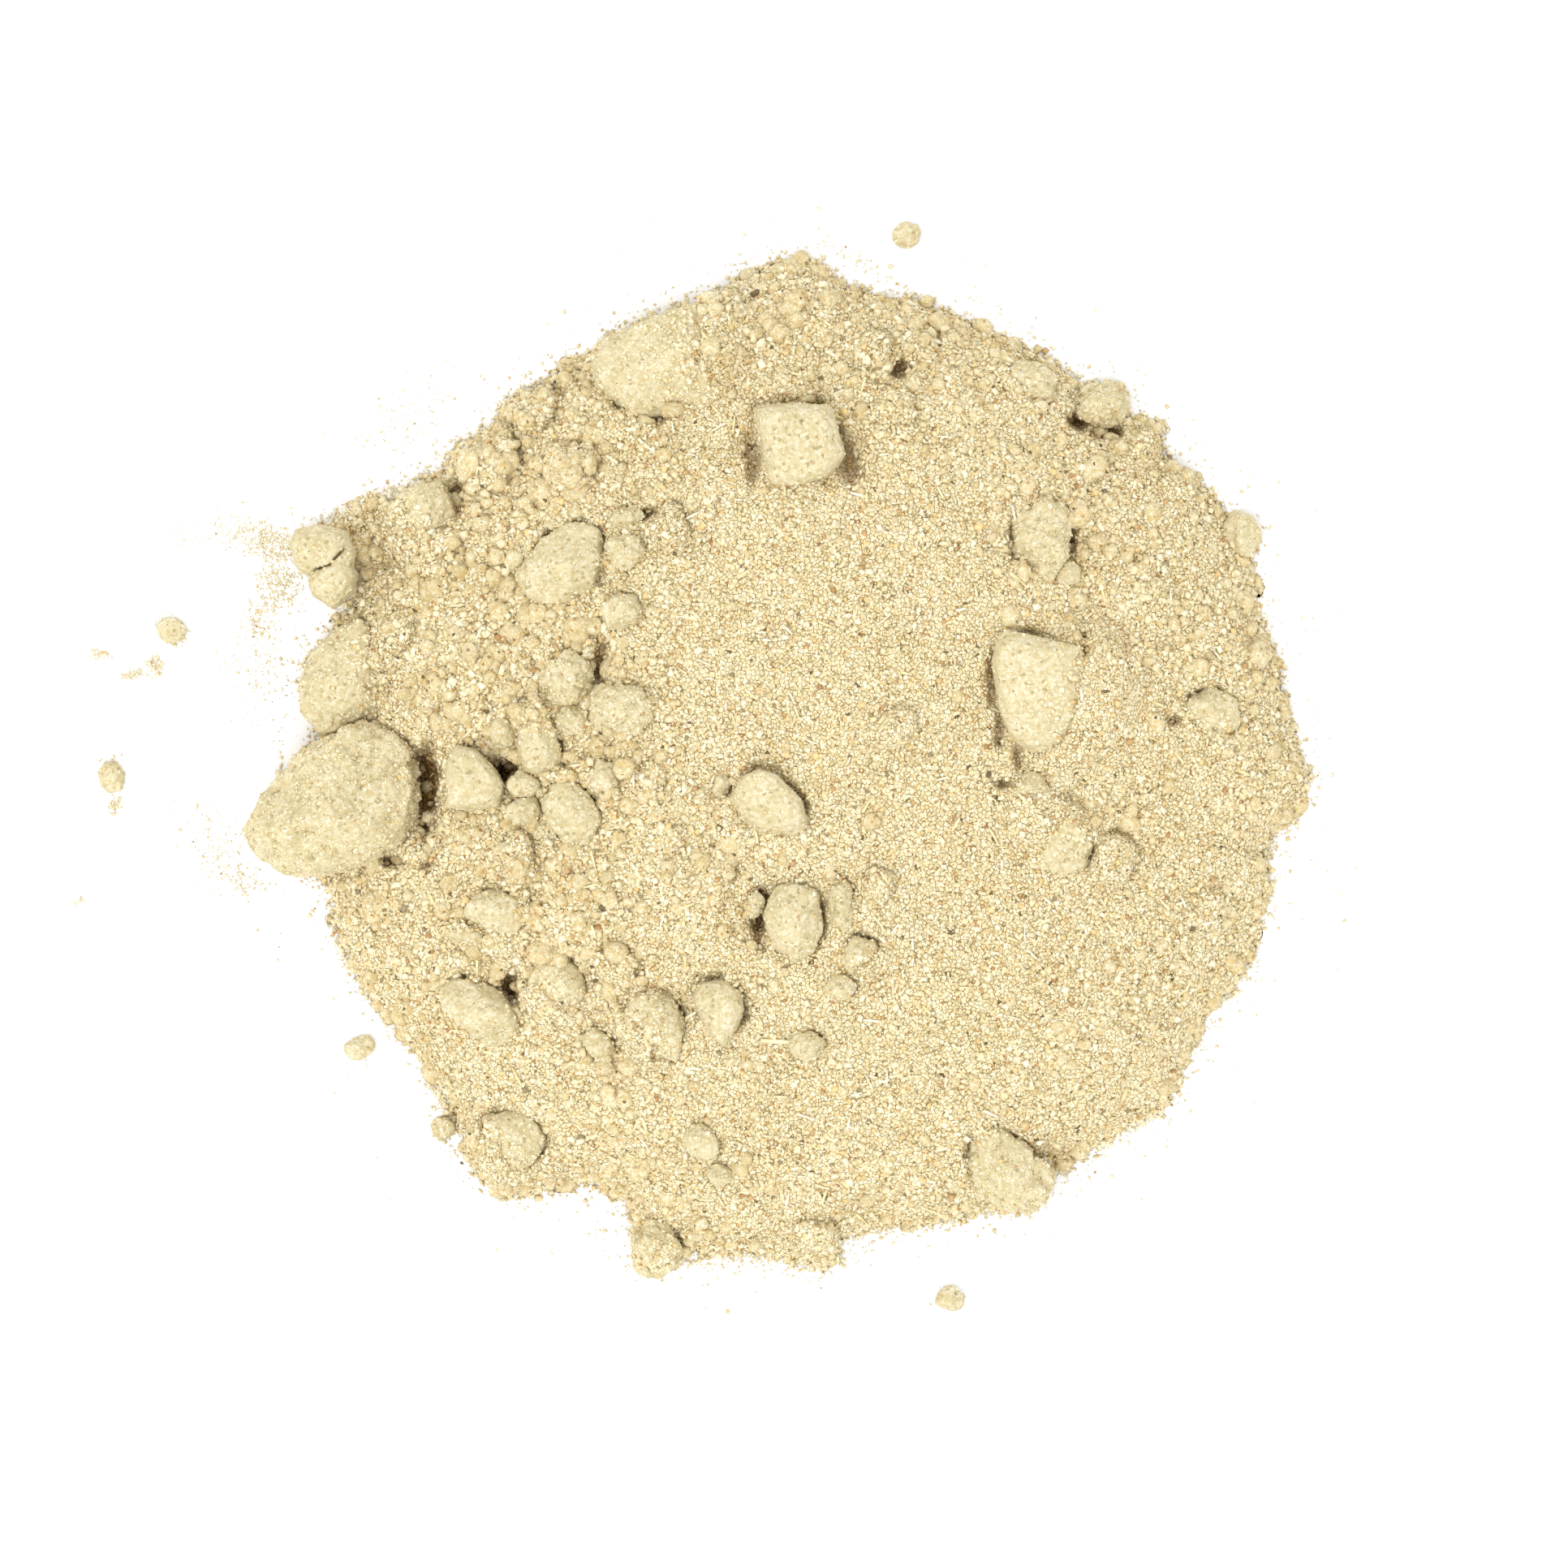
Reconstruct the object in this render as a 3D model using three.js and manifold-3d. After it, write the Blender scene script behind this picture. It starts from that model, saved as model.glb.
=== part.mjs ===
// A low heap of ground ginger, with the caked lumps and crumbs that lie in it and round it.
// Millimetres, +Z up. The origin is on the table, under the middle of the heap; +Y points to the
// pointed side of the heap and +X to its smooth round side.
import * as THREE from 'three';
import { ConvexGeometry } from 'three/addons/geometries/ConvexGeometry.js';
import { mergeVertices } from 'three/addons/utils/BufferGeometryUtils.js';
import Module from 'manifold-3d';

// ---- driving dimensions of the heap ----
const LIP_HEIGHT = 0.5; // the powder's edge is never thinner than a grain or so
const LIP_WIDTH = 0.25; // width of the strip over which the edge reaches that height
const SHOULDER_HEIGHT = 4.6; // the powder climbs this much close to its edge
const SHOULDER_WIDTH = 3.4; // within about this far of the edge
const DOME_HEIGHT = 9.2; // and this much more on the way to the middle
const DOME_WIDTH = 46; // over about this distance
const MEAN_RADIUS = 49; // radius of the heap, were it round
const FADE_WIDTH = 3; // swellings and hollows die away this close to the edge
const RAGGED_WIDTH = 9; // the small bends of the edge have died away this far inside it
const SOFTENED_ARC = 0.26; // radians each way over which the edge is averaged for the rest

// ---- fit between the lumps and the powder ----
const CLEARANCE = 0.3; // air between a lump and the powder round it
const INSET = 0.2; // each lump is drawn this much inside its outline, so neighbours stay apart
const MIN_BED = 0.6; // powder left under a lump that doesn't reach the table

// ---- shape of a lump ----
const WIDEST_LEVEL = 0.45; // share of a lump's thickness at which it is widest
const FOOT_WIDTH = 0.62; // width of its underside, as a share of its widest
const UNEVENNESS = 0.03; // how much its outline strays from level to level, as a share
const WAVINESS = 0.1; // how much its levels rise and dip, as a share of its thickness

const CRUMB_UNEVENNESS = 0.12; // the same for a loose crumb's sides
const CRUMB_LEVELS = [
  { up: 0, wide: 0.6 }, { up: 0.4, wide: 1 }, { up: 0.85, wide: 0.7 }, { up: 1, wide: 0.25 },
];

// ---- fineness ----
const OUTER_SECTORS = 152; // points in a ring near the edge; half as many further in, then a quarter
const OUTER_DEPTHS = [0, LIP_WIDTH, 1.3, 2.9, 5, 7.6, 10.4]; // rings this far inside the edge
const MIDDLE_DEPTHS = [13.4, 16.6, 20, 23.5, 27];
const INNER_DEPTHS = [30.5, 34, 37.5, 41.5, 45.5];
const EDGE_MARKS_PER_CORNER = 12; // places along the edge that are measured, for each of its corners
const LUMP_RUN = 3.2; // a lump's outline has straight runs of about this length between its corners
const CRUMB_SIDES = 7;

// The edge of the powder seen from above, clockwise from its point.
const EDGE = [
  [2, 50.5], [5, 48.5], [8, 46.5], [12.5, 46], [19, 43.5], [23, 41.5], [27.5, 39.5], [30, 36.5],
  [35, 34], [38.5, 33.5], [37.5, 31.5], [42.5, 27], [44, 24.5], [46.5, 20], [47.5, 14.5], [50, 8],
  [51, 2], [52.5, -1], [51, -5.5], [48, -8.5], [49, -10.5], [48, -14], [47, -17.5], [45.5, -22],
  [41.5, -26.5], [40.5, -29.5], [38.5, -34], [31, -38], [27, -40.5], [22, -44], [13.5, -46],
  [7.5, -46.5], [5.5, -50], [2, -50], [0.5, -49], [-5.5, -49], [-10, -48.5], [-12, -49.5],
  [-13.5, -49], [-15, -44], [-17.5, -42.5], [-21.5, -42], [-25, -43], [-28, -43], [-30, -41],
  [-32, -36], [-35.5, -29.5], [-39.5, -24.5], [-43, -19.5], [-44.5, -13.5], [-44.5, -9.5],
  [-43, -5], [-44, 0.5], [-45.5, 2.5], [-47, 6], [-47, 9], [-45, 13], [-41.5, 16.5], [-41, 19],
  [-38.5, 20], [-42, 22.5], [-39.5, 24.5], [-37, 27.5], [-33.5, 28], [-33, 30.5], [-28.5, 33.5],
  [-27.5, 35.5], [-23.5, 37.5], [-21.5, 39.5], [-18.5, 40], [-15.5, 42.5], [-13, 43.5],
  [-9, 46], [-6, 46.5], [-4.5, 48], [-1, 49.5],
];

// Soft swellings over lumps that are wholly under the powder: where, how wide, how high.
const SWELLINGS = [
  { x: -30, y: 29.8, radius: 3.6, height: 1.6 },
  { x: -25.2, y: 35.4, radius: 3, height: 1.2 },
  { x: -21.4, y: 29.4, radius: 2.8, height: 1.1 },
  { x: -11.2, y: 22.8, radius: 2.4, height: 1.1 },
  { x: -25.8, y: -9.8, radius: 3, height: 1.3 },
  { x: 10.8, y: 3, radius: 2.4, height: 0.9 },
  { x: 10.6, y: 34.7, radius: 1.9, height: 0.9 },
  { x: 10.8, y: 39.8, radius: 1.9, height: 0.9 },
  { x: 31.8, y: -9.8, radius: 2.2, height: 0.8 },
  { x: 13, y: 20, radius: 15, height: 1.2 },
  { x: 26, y: -24, radius: 12, height: 1 },
  { x: -8, y: -12, radius: 10, height: 0.8 },
];

// Hollows left where lumps have rolled or the powder has slipped away: where, how wide, how deep.
const HOLLOWS = [
  { x: -35, y: -1.6, radius: 2.2, depth: 3.2 },
  { x: -34.4, y: -5.6, radius: 2, depth: 2.2 },
  { x: -27.6, y: 0.4, radius: 2, depth: 2.4 },
  { x: -27, y: -22, radius: 2, depth: 2.4 },
  { x: -3.6, y: 30.4, radius: 1.8, depth: 1.6 },
  { x: 7, y: 30.6, radius: 1.8, depth: 1.4 },
  { x: -5.8, y: -2, radius: 1.8, depth: 1.6 },
  { x: -2.6, y: -15.4, radius: 1.7, depth: 1.8 },
  { x: 5, y: -13.6, radius: 1.8, depth: 1 },
  { x: -9.2, y: -24.6, radius: 1.6, depth: 2 },
  { x: -17, y: -26.2, radius: 1.5, depth: 1.4 },
  { x: 32, y: 32.8, radius: 1.6, depth: 1.6 },
  { x: -12.2, y: 5, radius: 1.6, depth: 1.4 },
  { x: -15, y: 24.6, radius: 2.2, depth: 1.4 },
];

// The caked lumps. Each has the corners of its outline seen from above, the height of its top over
// the powder round it, and its thickness; flatness runs from 0, a round top, to 1, a flat one.
const LUMPS = [
  {
    name: 'largest_clod', onTable: true, rise: 10.4, thickness: 10.4, flatness: 0.25,
    corners: [[-52.4, -7], [-51, -10], [-46.8, -11], [-41.6, -10], [-36.8, -7.6], [-35.6, -3.6],
      [-36, 1], [-38.8, 3.4], [-42.4, 3], [-47.6, 0.6], [-51, -3.6]],
  },
  {
    name: 'smooth_edge_clod', rise: 1.6, thickness: 6.4, flatness: 0.2, crest: [-43, 7],
    corners: [[-47.4, 8], [-46.8, 4.8], [-45.2, 3], [-42, 4.2], [-39.2, 5], [-38.4, 8.4],
      [-39.8, 12.4], [-41.6, 14.4], [-44.2, 12.8], [-46.2, 10.8]],
  },
  {
    name: 'upper_edge_lump', rise: 1.8, thickness: 5, flatness: 0.3,
    corners: [[-38, 24], [-37.6, 26.2], [-35.6, 27.2], [-33.4, 27.6], [-32.6, 26], [-32, 23.8],
      [-33.2, 22.4], [-36.4, 22.2]],
  },
  {
    name: 'upper_left_clod', rise: 3, thickness: 9, flatness: 0.3,
    corners: [[-18.8, 39.2], [-17.2, 41.8], [-12.8, 43.6], [-8.8, 45.4], [-5.6, 45], [-4, 42.8],
      [-4.2, 38.8], [-6.8, 35.2], [-10.8, 34], [-13.6, 33.8], [-16.4, 35.6], [-18, 37.2]],
  },
  {
    name: 'square_clod', rise: 3.6, thickness: 7, flatness: 0.9,
    corners: [[-2.6, 34.8], [1.2, 35.4], [5, 34.8], [5.8, 32.4], [6.4, 30], [4.8, 27.6],
      [1.2, 26.8], [-1, 27.2], [-2, 30.4]],
  },
  {
    name: 'oval_rough_lump', rise: 2.4, thickness: 5.4, flatness: 0.2,
    corners: [[24, 24.4], [26, 25.6], [27.8, 24.8], [28.4, 22.8], [28, 20], [26.4, 17.6],
      [24.6, 18.2], [23.2, 20], [23.2, 22.8]],
  },
  {
    name: 'oval_lump_crumb', rise: 1.2, thickness: 2.2, flatness: 0.3,
    corners: [[27.2, 18.8], [28.2, 19.5], [29.3, 19], [29, 17.6], [27.6, 17.2]],
  },
  {
    name: 'right_wedge_clod', rise: 3, thickness: 7.6, flatness: 0.35,
    crest: [23.4, 8.6],
    corners: [[20.8, 9.6], [21.5, 12], [22.4, 12.9], [26, 11.8], [30.4, 11.2], [30.8, 7.4],
      [30, 3], [27.8, 0.6], [24.9, 0.1], [22.8, 1.6], [21.5, 4.6]],
  },
  {
    name: 'centre_facet_lump', rise: 2.8, thickness: 5.4, flatness: 0.6,
    crest: [-1.6, -3],
    corners: [[-4.8, -3.6], [-4, -1.8], [-2, -0.8], [0, -1.6], [2.2, -4], [2.8, -6.4],
      [1.6, -7.4], [-2, -7.2], [-4.2, -5.6]],
  },
  {
    name: 'centre_facet_chip', rise: 1.1, thickness: 2.2, flatness: 0.3,
    corners: [[-6.6, -1.8], [-5.8, -0.9], [-4.9, -1.4], [-5.2, -3], [-6.2, -3.6]],
  },
  {
    name: 'round_clod', rise: 3, thickness: 7, flatness: 0.2,
    corners: [[-26, 18.2], [-23.2, 22], [-20.4, 23.2], [-18, 22.8], [-17.4, 20], [-18, 17.2],
      [-20, 15.4], [-23.2, 15.2], [-25.4, 16.4]],
  },
  {
    name: 'block_beside_round_clod', rise: 1.6, thickness: 3.4, flatness: 0.5,
    corners: [[-16.8, 21.2], [-15.6, 22], [-14, 21.8], [-13.4, 20.4], [-14.2, 19.2],
      [-16.4, 19.2]],
  },
  {
    name: 'lump_below_block', rise: 1.8, thickness: 3.8, flatness: 0.3,
    corners: [[-17.6, 15], [-16.4, 16.2], [-14.4, 16.2], [-13.8, 15], [-14.4, 13.2], [-16, 12.6],
      [-17.2, 13.6]],
  },
  {
    name: 'crumb_above_block', rise: 1.4, thickness: 2.8, flatness: 0.3,
    corners: [[-16.8, 23.8], [-16, 25.2], [-14.6, 24.9], [-13.6, 24.2], [-14.4, 22.8],
      [-16, 22.8]],
  },
  {
    name: 'cluster_upper_lump', rise: 2.2, thickness: 4.8, flatness: 0.3,
    corners: [[-23.4, 7.2], [-22.6, 9.6], [-20.8, 10.6], [-19.2, 10], [-18.6, 8.4], [-19.2, 6.4],
      [-20.6, 5.6], [-22.4, 5.8]],
  },
  {
    name: 'cluster_rough_lump', rise: 2.6, thickness: 5, flatness: 0.3,
    corners: [[-18.6, 5.6], [-17.6, 7.2], [-15.6, 7.4], [-13.6, 6.4], [-12.6, 4.6], [-13.4, 3],
      [-16, 2.8], [-18, 3.2]],
  },
  {
    name: 'cluster_middle_crumb', rise: 1.5, thickness: 3, flatness: 0.3,
    corners: [[-21.8, 3.9], [-20.8, 5.1], [-19.3, 5.1], [-18.9, 4], [-19.7, 2.8], [-21.1, 2.8]],
  },
  {
    name: 'cluster_long_lump', rise: 2.6, thickness: 5.4, flatness: 0.3,
    corners: [[-25.6, 2], [-25.4, 4.4], [-24, 5.6], [-22.7, 4.6], [-21.8, 2.2], [-21.3, -0.4],
      [-23, -1.8], [-24.8, -0.8]],
  },
  {
    name: 'cluster_side_crumb', rise: 1.3, thickness: 2.6, flatness: 0.3,
    corners: [[-28.4, 3], [-27.6, 4.2], [-26.2, 4], [-25.9, 2.8], [-26.6, 1.4], [-28, 1.6]],
  },
  {
    name: 'cluster_facet_lump', rise: 2.8, thickness: 5.4, flatness: 0.7,
    corners: [[-32.8, 0], [-31.8, 1.6], [-30, 1.4], [-28, -0.6], [-27, -2.4], [-27.5, -4.6],
      [-30.4, -5], [-32.8, -4.6]],
  },
  {
    name: 'cluster_round_crumb', rise: 1.6, thickness: 3, flatness: 0.2,
    corners: [[-26.7, -2.2], [-25.6, -1.1], [-24.4, -1.3], [-23.6, -2.3], [-24.4, -3.2],
      [-26, -3.2]],
  },
  {
    name: 'cluster_lower_crumb', rise: 1.4, thickness: 3, flatness: 0.3,
    corners: [[-26.8, -4.7], [-25.6, -3.6], [-24.1, -3.6], [-23.5, -4.8], [-24.5, -6.3],
      [-26, -6]],
  },
  {
    name: 'cluster_lower_lump', rise: 2.8, thickness: 5.2, flatness: 0.3,
    corners: [[-23.1, -4], [-22, -2.4], [-20.4, -2.2], [-18.8, -3.6], [-17.8, -5.6],
      [-18.4, -7.6], [-20.6, -8.2], [-22.4, -6.8]],
  },
  {
    name: 'cluster_outer_crumb', rise: 1.2, thickness: 3, flatness: 0.3,
    corners: [[-18.6, -1.8], [-17.8, 0], [-16.6, -0.2], [-16, -2], [-16.8, -3.2], [-17.9, -2.9]],
  },
  {
    name: 'low_left_lump', rise: 2.2, thickness: 4.2, flatness: 0.4,
    corners: [[-30.8, -14.8], [-29.6, -13.2], [-27.6, -12.6], [-25.6, -13.6], [-25.2, -15.2],
      [-26.2, -16.8], [-28.8, -16]],
  },
  {
    name: 'low_left_flake', rise: 1, thickness: 2.6, flatness: 0.4,
    corners: [[-32.9, -16.9], [-31.8, -15.8], [-30, -16.2], [-28.4, -17], [-30, -17.8],
      [-32, -17.8]],
  },
  {
    name: 'oval_clod', rise: 3, thickness: 6, flatness: 0.3,
    corners: [[-33.4, -22.6], [-32, -21.3], [-29.6, -21.4], [-27.4, -23.2], [-25.8, -25.8],
      [-26.2, -27.6], [-28.6, -28], [-31.2, -25.8], [-33, -24.2]],
  },
  {
    name: 'half_buried_lump', rise: 1.7, thickness: 4.6, flatness: 0.2,
    corners: [[-24.8, -22], [-23.6, -19.6], [-21.2, -19.2], [-19.4, -20.8], [-19.2, -22.8],
      [-20.8, -24.8], [-23.6, -24.8]],
  },
  {
    name: 'twin_topped_lump', rise: 2.4, thickness: 5, flatness: 0.4,
    corners: [[-15.4, -26.6], [-14.6, -24], [-12.8, -22.4], [-10.6, -23.2], [-9.8, -25.6],
      [-10.2, -28.8], [-13.2, -29]],
  },
  {
    name: 'pointed_lump', rise: 2.8, thickness: 5, flatness: 0.3,
    corners: [[-8.7, -23], [-8, -21.4], [-5.6, -21.2], [-3.8, -22.4], [-3.4, -24.4],
      [-4.4, -26.8], [-5.4, -28.2], [-6.8, -27.2], [-7.9, -25.2]],
  },
  {
    name: 'slanting_crumb', rise: 1.1, thickness: 2.2, flatness: 0.3,
    corners: [[-19.4, -27.1], [-18.2, -26.4], [-16.7, -27.4], [-16.2, -28.7], [-18.2, -28.9]],
  },
  {
    name: 'half_round_lump', rise: 1.6, thickness: 4.6, flatness: 0.5,
    corners: [[-29.2, -35], [-26.4, -34.4], [-24.4, -35.2], [-23.2, -37], [-23.8, -38.8],
      [-25.6, -40.2], [-28.6, -41], [-29.4, -38.4]],
  },
  {
    name: 'bottom_pair_lump', rise: 1.6, thickness: 3.2, flatness: 0.3,
    corners: [[-9.4, -37], [-8.4, -35.6], [-7, -36], [-6, -37.6], [-6.4, -39], [-8, -38.8]],
  },
  {
    name: 'bottom_pair_crumb', rise: 1, thickness: 2.2, flatness: 0.3,
    corners: [[-7.2, -40.1], [-6.2, -39.6], [-5.2, -40.1], [-5, -41.3], [-6.1, -41.6]],
  },
  {
    name: 'long_oval_clod', rise: 2.8, thickness: 6, flatness: 0.2,
    corners: [[-1.6, -14.8], [-0.4, -12.4], [1.6, -11.8], [3.4, -12.8], [4, -16], [3.2, -18.6],
      [1.6, -19.8], [-0.4, -18.4]],
  },
  {
    name: 'long_oval_crumb', rise: 1.4, thickness: 2, flatness: 0.2,
    corners: [[-3.2, -13.8], [-2.5, -13], [-1.9, -13.5], [-2, -14.6], [-2.8, -14.8]],
  },
  {
    name: 'upright_flake', rise: 1.4, thickness: 3.4, flatness: 0.3,
    corners: [[4.7, -13.8], [5.6, -11.4], [6.6, -12], [7.2, -15.2], [6.4, -16.8], [5.1, -16.6]],
  },
  {
    name: 'lower_middle_lump', rise: 1.5, thickness: 3.6, flatness: 0.3,
    corners: [[6, -18.8], [7.2, -17.4], [9.2, -17.6], [10, -19.2], [8.8, -20.5], [6.9, -20.3]],
  },
  {
    name: 'lower_middle_crumb', rise: 1.3, thickness: 2.6, flatness: 0.2,
    corners: [[4.4, -22], [5.4, -20.9], [6.6, -21.2], [7.2, -22], [6.4, -23.2], [4.8, -23]],
  },
  {
    name: 'round_crumb', rise: 1.4, thickness: 2.8, flatness: 0.3,
    corners: [[0.8, -27.8], [1.6, -26.8], [3.4, -26.6], [4.2, -27.6], [3.2, -29], [1.6, -28.8]],
  },
  {
    name: 'right_round_lump', rise: 1.3, thickness: 4.4, flatness: 0.3,
    corners: [[25.2, -8.4], [25.8, -6], [27.8, -4.8], [29.8, -5.6], [30.6, -8], [29.6, -10.4],
      [27.2, -11.4], [25.6, -10.4]],
  },
  {
    name: 'right_small_lump', rise: 1, thickness: 3.4, flatness: 0.3,
    corners: [[22, -3.4], [23.2, -1.4], [25.2, -1.2], [26.2, -2.8], [24.8, -4.6], [22.8, -5]],
  },
  {
    name: 'leaf_shaped_clod', rise: 2.2, thickness: 5.6, flatness: 0.4,
    corners: [[20, -35], [18.8, -36.8], [18.6, -39.2], [19.6, -41.8], [22.4, -44], [24.6, -44.8],
      [26.2, -43], [27, -40.8], [25.2, -38.6], [22.8, -36.8]],
  },
  {
    name: 'bottom_edge_lump', onTable: true, rise: 4.2, thickness: 4.2, flatness: 0.3,
    corners: [[-14.4, -47], [-13, -45.2], [-11.2, -45.8], [-9.9, -47.6], [-10.4, -49.8],
      [-12.4, -50.8], [-14.2, -50]],
  },
  {
    name: 'top_right_lump', rise: 1.3, thickness: 4, flatness: 0.4,
    corners: [[22, 38], [23.2, 39.4], [25.8, 39.2], [27.2, 37.8], [26.6, 36], [24, 35.4],
      [22.4, 36]],
  },
  {
    name: 'top_right_edge_lump', onTable: true, rise: 4, thickness: 4, flatness: 0.3,
    corners: [[29.4, 34.8], [30.4, 37], [32.4, 37.4], [34.4, 35.8], [33.6, 33.9], [31, 33.4]],
  },
  {
    name: 'right_edge_crumb', onTable: true, rise: 3.2, thickness: 3.2, flatness: 0.3,
    corners: [[44, 23], [45, 24.6], [46.6, 24.2], [47.4, 22.2], [46.4, 20.4], [44.8, 21]],
  },
  {
    name: 'right_half_buried_lump', rise: 1.1, thickness: 4, flatness: 0.3,
    corners: [[38.8, 4.2], [40.4, 6.4], [42.6, 7.2], [44.8, 6], [45.2, 3.8], [43.2, 2],
      [40.4, 2.2]],
  },
];

// Crumbs lying loose on the table: where each lies, its length, width and height, and its turn.
const LOOSE_CRUMBS = [
  { name: 'loose_crumb_top', x: 12.5, y: 52.2, length: 2.2, width: 1.8, height: 1.4, turn: 20 },
  { name: 'loose_crumb_low_left', x: -41.6, y: -28.4, length: 2.4, width: 1.7, height: 1.3, turn: 10 },
  { name: 'loose_crumb_bottom', x: 16.8, y: -53.1, length: 2.4, width: 1.9, height: 1.5, turn: 160 },
  { name: 'loose_crumb_foot', x: -33.4, y: -36.3, length: 1.7, width: 1.5, height: 1.1, turn: 60 },
  { name: 'loose_crumb_far_left', x: -66.2, y: -1.6, length: 2.4, width: 1.9, height: 1, turn: 110 },
  { name: 'loose_crumb_upper_left', x: -60.3, y: 13, length: 2.1, width: 1.8, height: 1, turn: 150 },
];

// The lump that has cracked across: two lobes that are still joined at one end of the crack.
const CRACKED_LUMP = {
  name: 'cracked_clod',
  thickness: 6.2,
  flatness: 0.3,
  upper: [[-48.6, 21.4], [-48, 23], [-45.6, 23.6], [-42.8, 22.8], [-41.8, 20.4], [-42.4, 18],
    [-46, 17.6], [-48, 19]],
  lower: [[-46.8, 17.8], [-45.4, 19.6], [-42.8, 20], [-41.6, 18.6], [-42, 16.8], [-44, 15],
    [-46.2, 16.4]],
  crack: {
    line: [[-47.4, 17.2], [-45.8, 19], [-44.4, 19.4], [-43, 21]],
    width: 0.35, // half the gap at the top
    footWidth: 0.1, // half the gap at the bottom
    depth: 3.6,
    overlap: 0.3,
  },
};

const wasm = await Module();
wasm.setup();

/** A repeatable number from -1 to 1 for the pair of whole numbers a and b. */
function wobble(a, b) {
  const s = Math.sin(a * 127.1 + b * 311.7) * 43758.5453;
  return 2 * (s - Math.floor(s)) - 1;
}

/** Eases from 0 to 1 as t goes from 0 to 1. */
function ease(t) {
  const c = THREE.MathUtils.clamp(t, 0, 1);
  return c * c * (3 - 2 * c);
}

/** The smooth closed curve through the corners. */
function smoothCurve(corners) {
  const points = corners.map(([x, y]) => new THREE.Vector3(x, y, 0));
  return new THREE.CatmullRomCurve3(points, true, 'centripetal');
}

/** A lump's outline: its corners, with more points between those that are far apart. */
function lumpOutline(corners) {
  const outline = [];
  corners.forEach(([x, y], k) => {
    const corner = new THREE.Vector3(x, y, 0);
    const next = new THREE.Vector3(...corners[(k + 1) % corners.length], 0);
    const runs = Math.max(1, Math.round(corner.distanceTo(next) / LUMP_RUN));
    for (let r = 0; r < runs; r += 1) {
      outline.push(corner.clone().lerp(next, r / runs));
    }
  });
  return outline;
}

/** The average of a list of points. */
function middleOf(points) {
  const sum = new THREE.Vector3();
  for (const point of points) {
    sum.add(point);
  }
  return sum.divideScalar(points.length);
}

/** Bearing and distance of many points along the powder's edge, in order of bearing. */
function surveyEdge() {
  const marks = smoothCurve(EDGE).getPoints(EDGE.length * EDGE_MARKS_PER_CORNER).map((point) => ({
    bearing: Math.atan2(point.y, point.x),
    radius: Math.hypot(point.x, point.y),
  }));
  marks.sort((a, b) => a.bearing - b.bearing);
  for (const mark of marks) {
    const near = marks.filter(({ bearing }) => {
      const apart = Math.abs(bearing - mark.bearing);
      return Math.min(apart, 2 * Math.PI - apart) < SOFTENED_ARC;
    });
    mark.soft = near.reduce((sum, { radius }) => sum + radius, 0) / near.length;
  }
  return marks;
}

const EDGE_MARKS = surveyEdge();

/** Distance from the origin to the powder's edge in one direction, exact and softened. */
function edgeRadius(bearing) {
  let low = 0;
  let high = EDGE_MARKS.length - 1;
  while (high - low > 1) {
    const mid = (low + high) >> 1;
    if (EDGE_MARKS[mid].bearing > bearing) {
      high = mid;
    } else {
      low = mid;
    }
  }
  const a = EDGE_MARKS[low];
  const b = EDGE_MARKS[high];
  const t = THREE.MathUtils.clamp((bearing - a.bearing) / (b.bearing - a.bearing || 1), 0, 1);
  const { lerp } = THREE.MathUtils;
  return { radius: lerp(a.radius, b.radius, t), soft: lerp(a.soft, b.soft, t) };
}

/** How far inside the powder's edge a place is; the bends of the edge die away inwards. */
function depthInside(x, y) {
  const reach = Math.hypot(x, y);
  const { radius, soft } = edgeRadius(Math.atan2(y, x));
  const edge = THREE.MathUtils.lerp(radius, soft, ease((radius - reach) / RAGGED_WIDTH));
  const part = reach / edge;
  return THREE.MathUtils.lerp(MEAN_RADIUS, edge, part * part) * (1 - part);
}

/** Height of the powder's surface above the table. */
function powderHeight(x, y) {
  const depth = depthInside(x, y);
  if (depth <= LIP_WIDTH) {
    return LIP_HEIGHT * Math.max(depth / LIP_WIDTH, 0);
  }
  const inward = depth - LIP_WIDTH;
  let height = LIP_HEIGHT + SHOULDER_HEIGHT * (1 - Math.exp(-inward / SHOULDER_WIDTH));
  height += DOME_HEIGHT * ease(0.5 + (0.5 * inward) / DOME_WIDTH) * 2 - DOME_HEIGHT;
  const fade = ease(inward / FADE_WIDTH);
  for (const { x: sx, y: sy, radius, height: swell } of SWELLINGS) {
    const far = ((x - sx) ** 2 + (y - sy) ** 2) / (radius * radius);
    height += fade * swell * Math.exp(-far);
  }
  for (const { x: hx, y: hy, radius, depth: dip } of HOLLOWS) {
    const far = ((x - hx) ** 2 + (y - hy) ** 2) / (radius * radius);
    height -= fade * dip * Math.exp(-far);
  }
  return Math.max(height, LIP_HEIGHT);
}

/** One ring of the powder's surface, a given depth inside the edge. */
function powderRing(depth, sectors) {
  const ring = [];
  for (let k = 0; k < sectors; k += 1) {
    const bearing = Math.PI - (2 * Math.PI * (k + 0.5)) / sectors;
    const { radius, soft } = edgeRadius(bearing);
    const edge = THREE.MathUtils.lerp(radius, soft, ease(depth / RAGGED_WIDTH));
    const part = depth / MEAN_RADIUS;
    const reach = THREE.MathUtils.lerp(edge, MEAN_RADIUS, part) * (1 - part);
    const x = reach * Math.cos(bearing);
    const y = reach * Math.sin(bearing);
    ring.push([x, y, depth === 0 ? 0 : powderHeight(x, y)]);
  }
  return ring.reverse();
}

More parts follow.
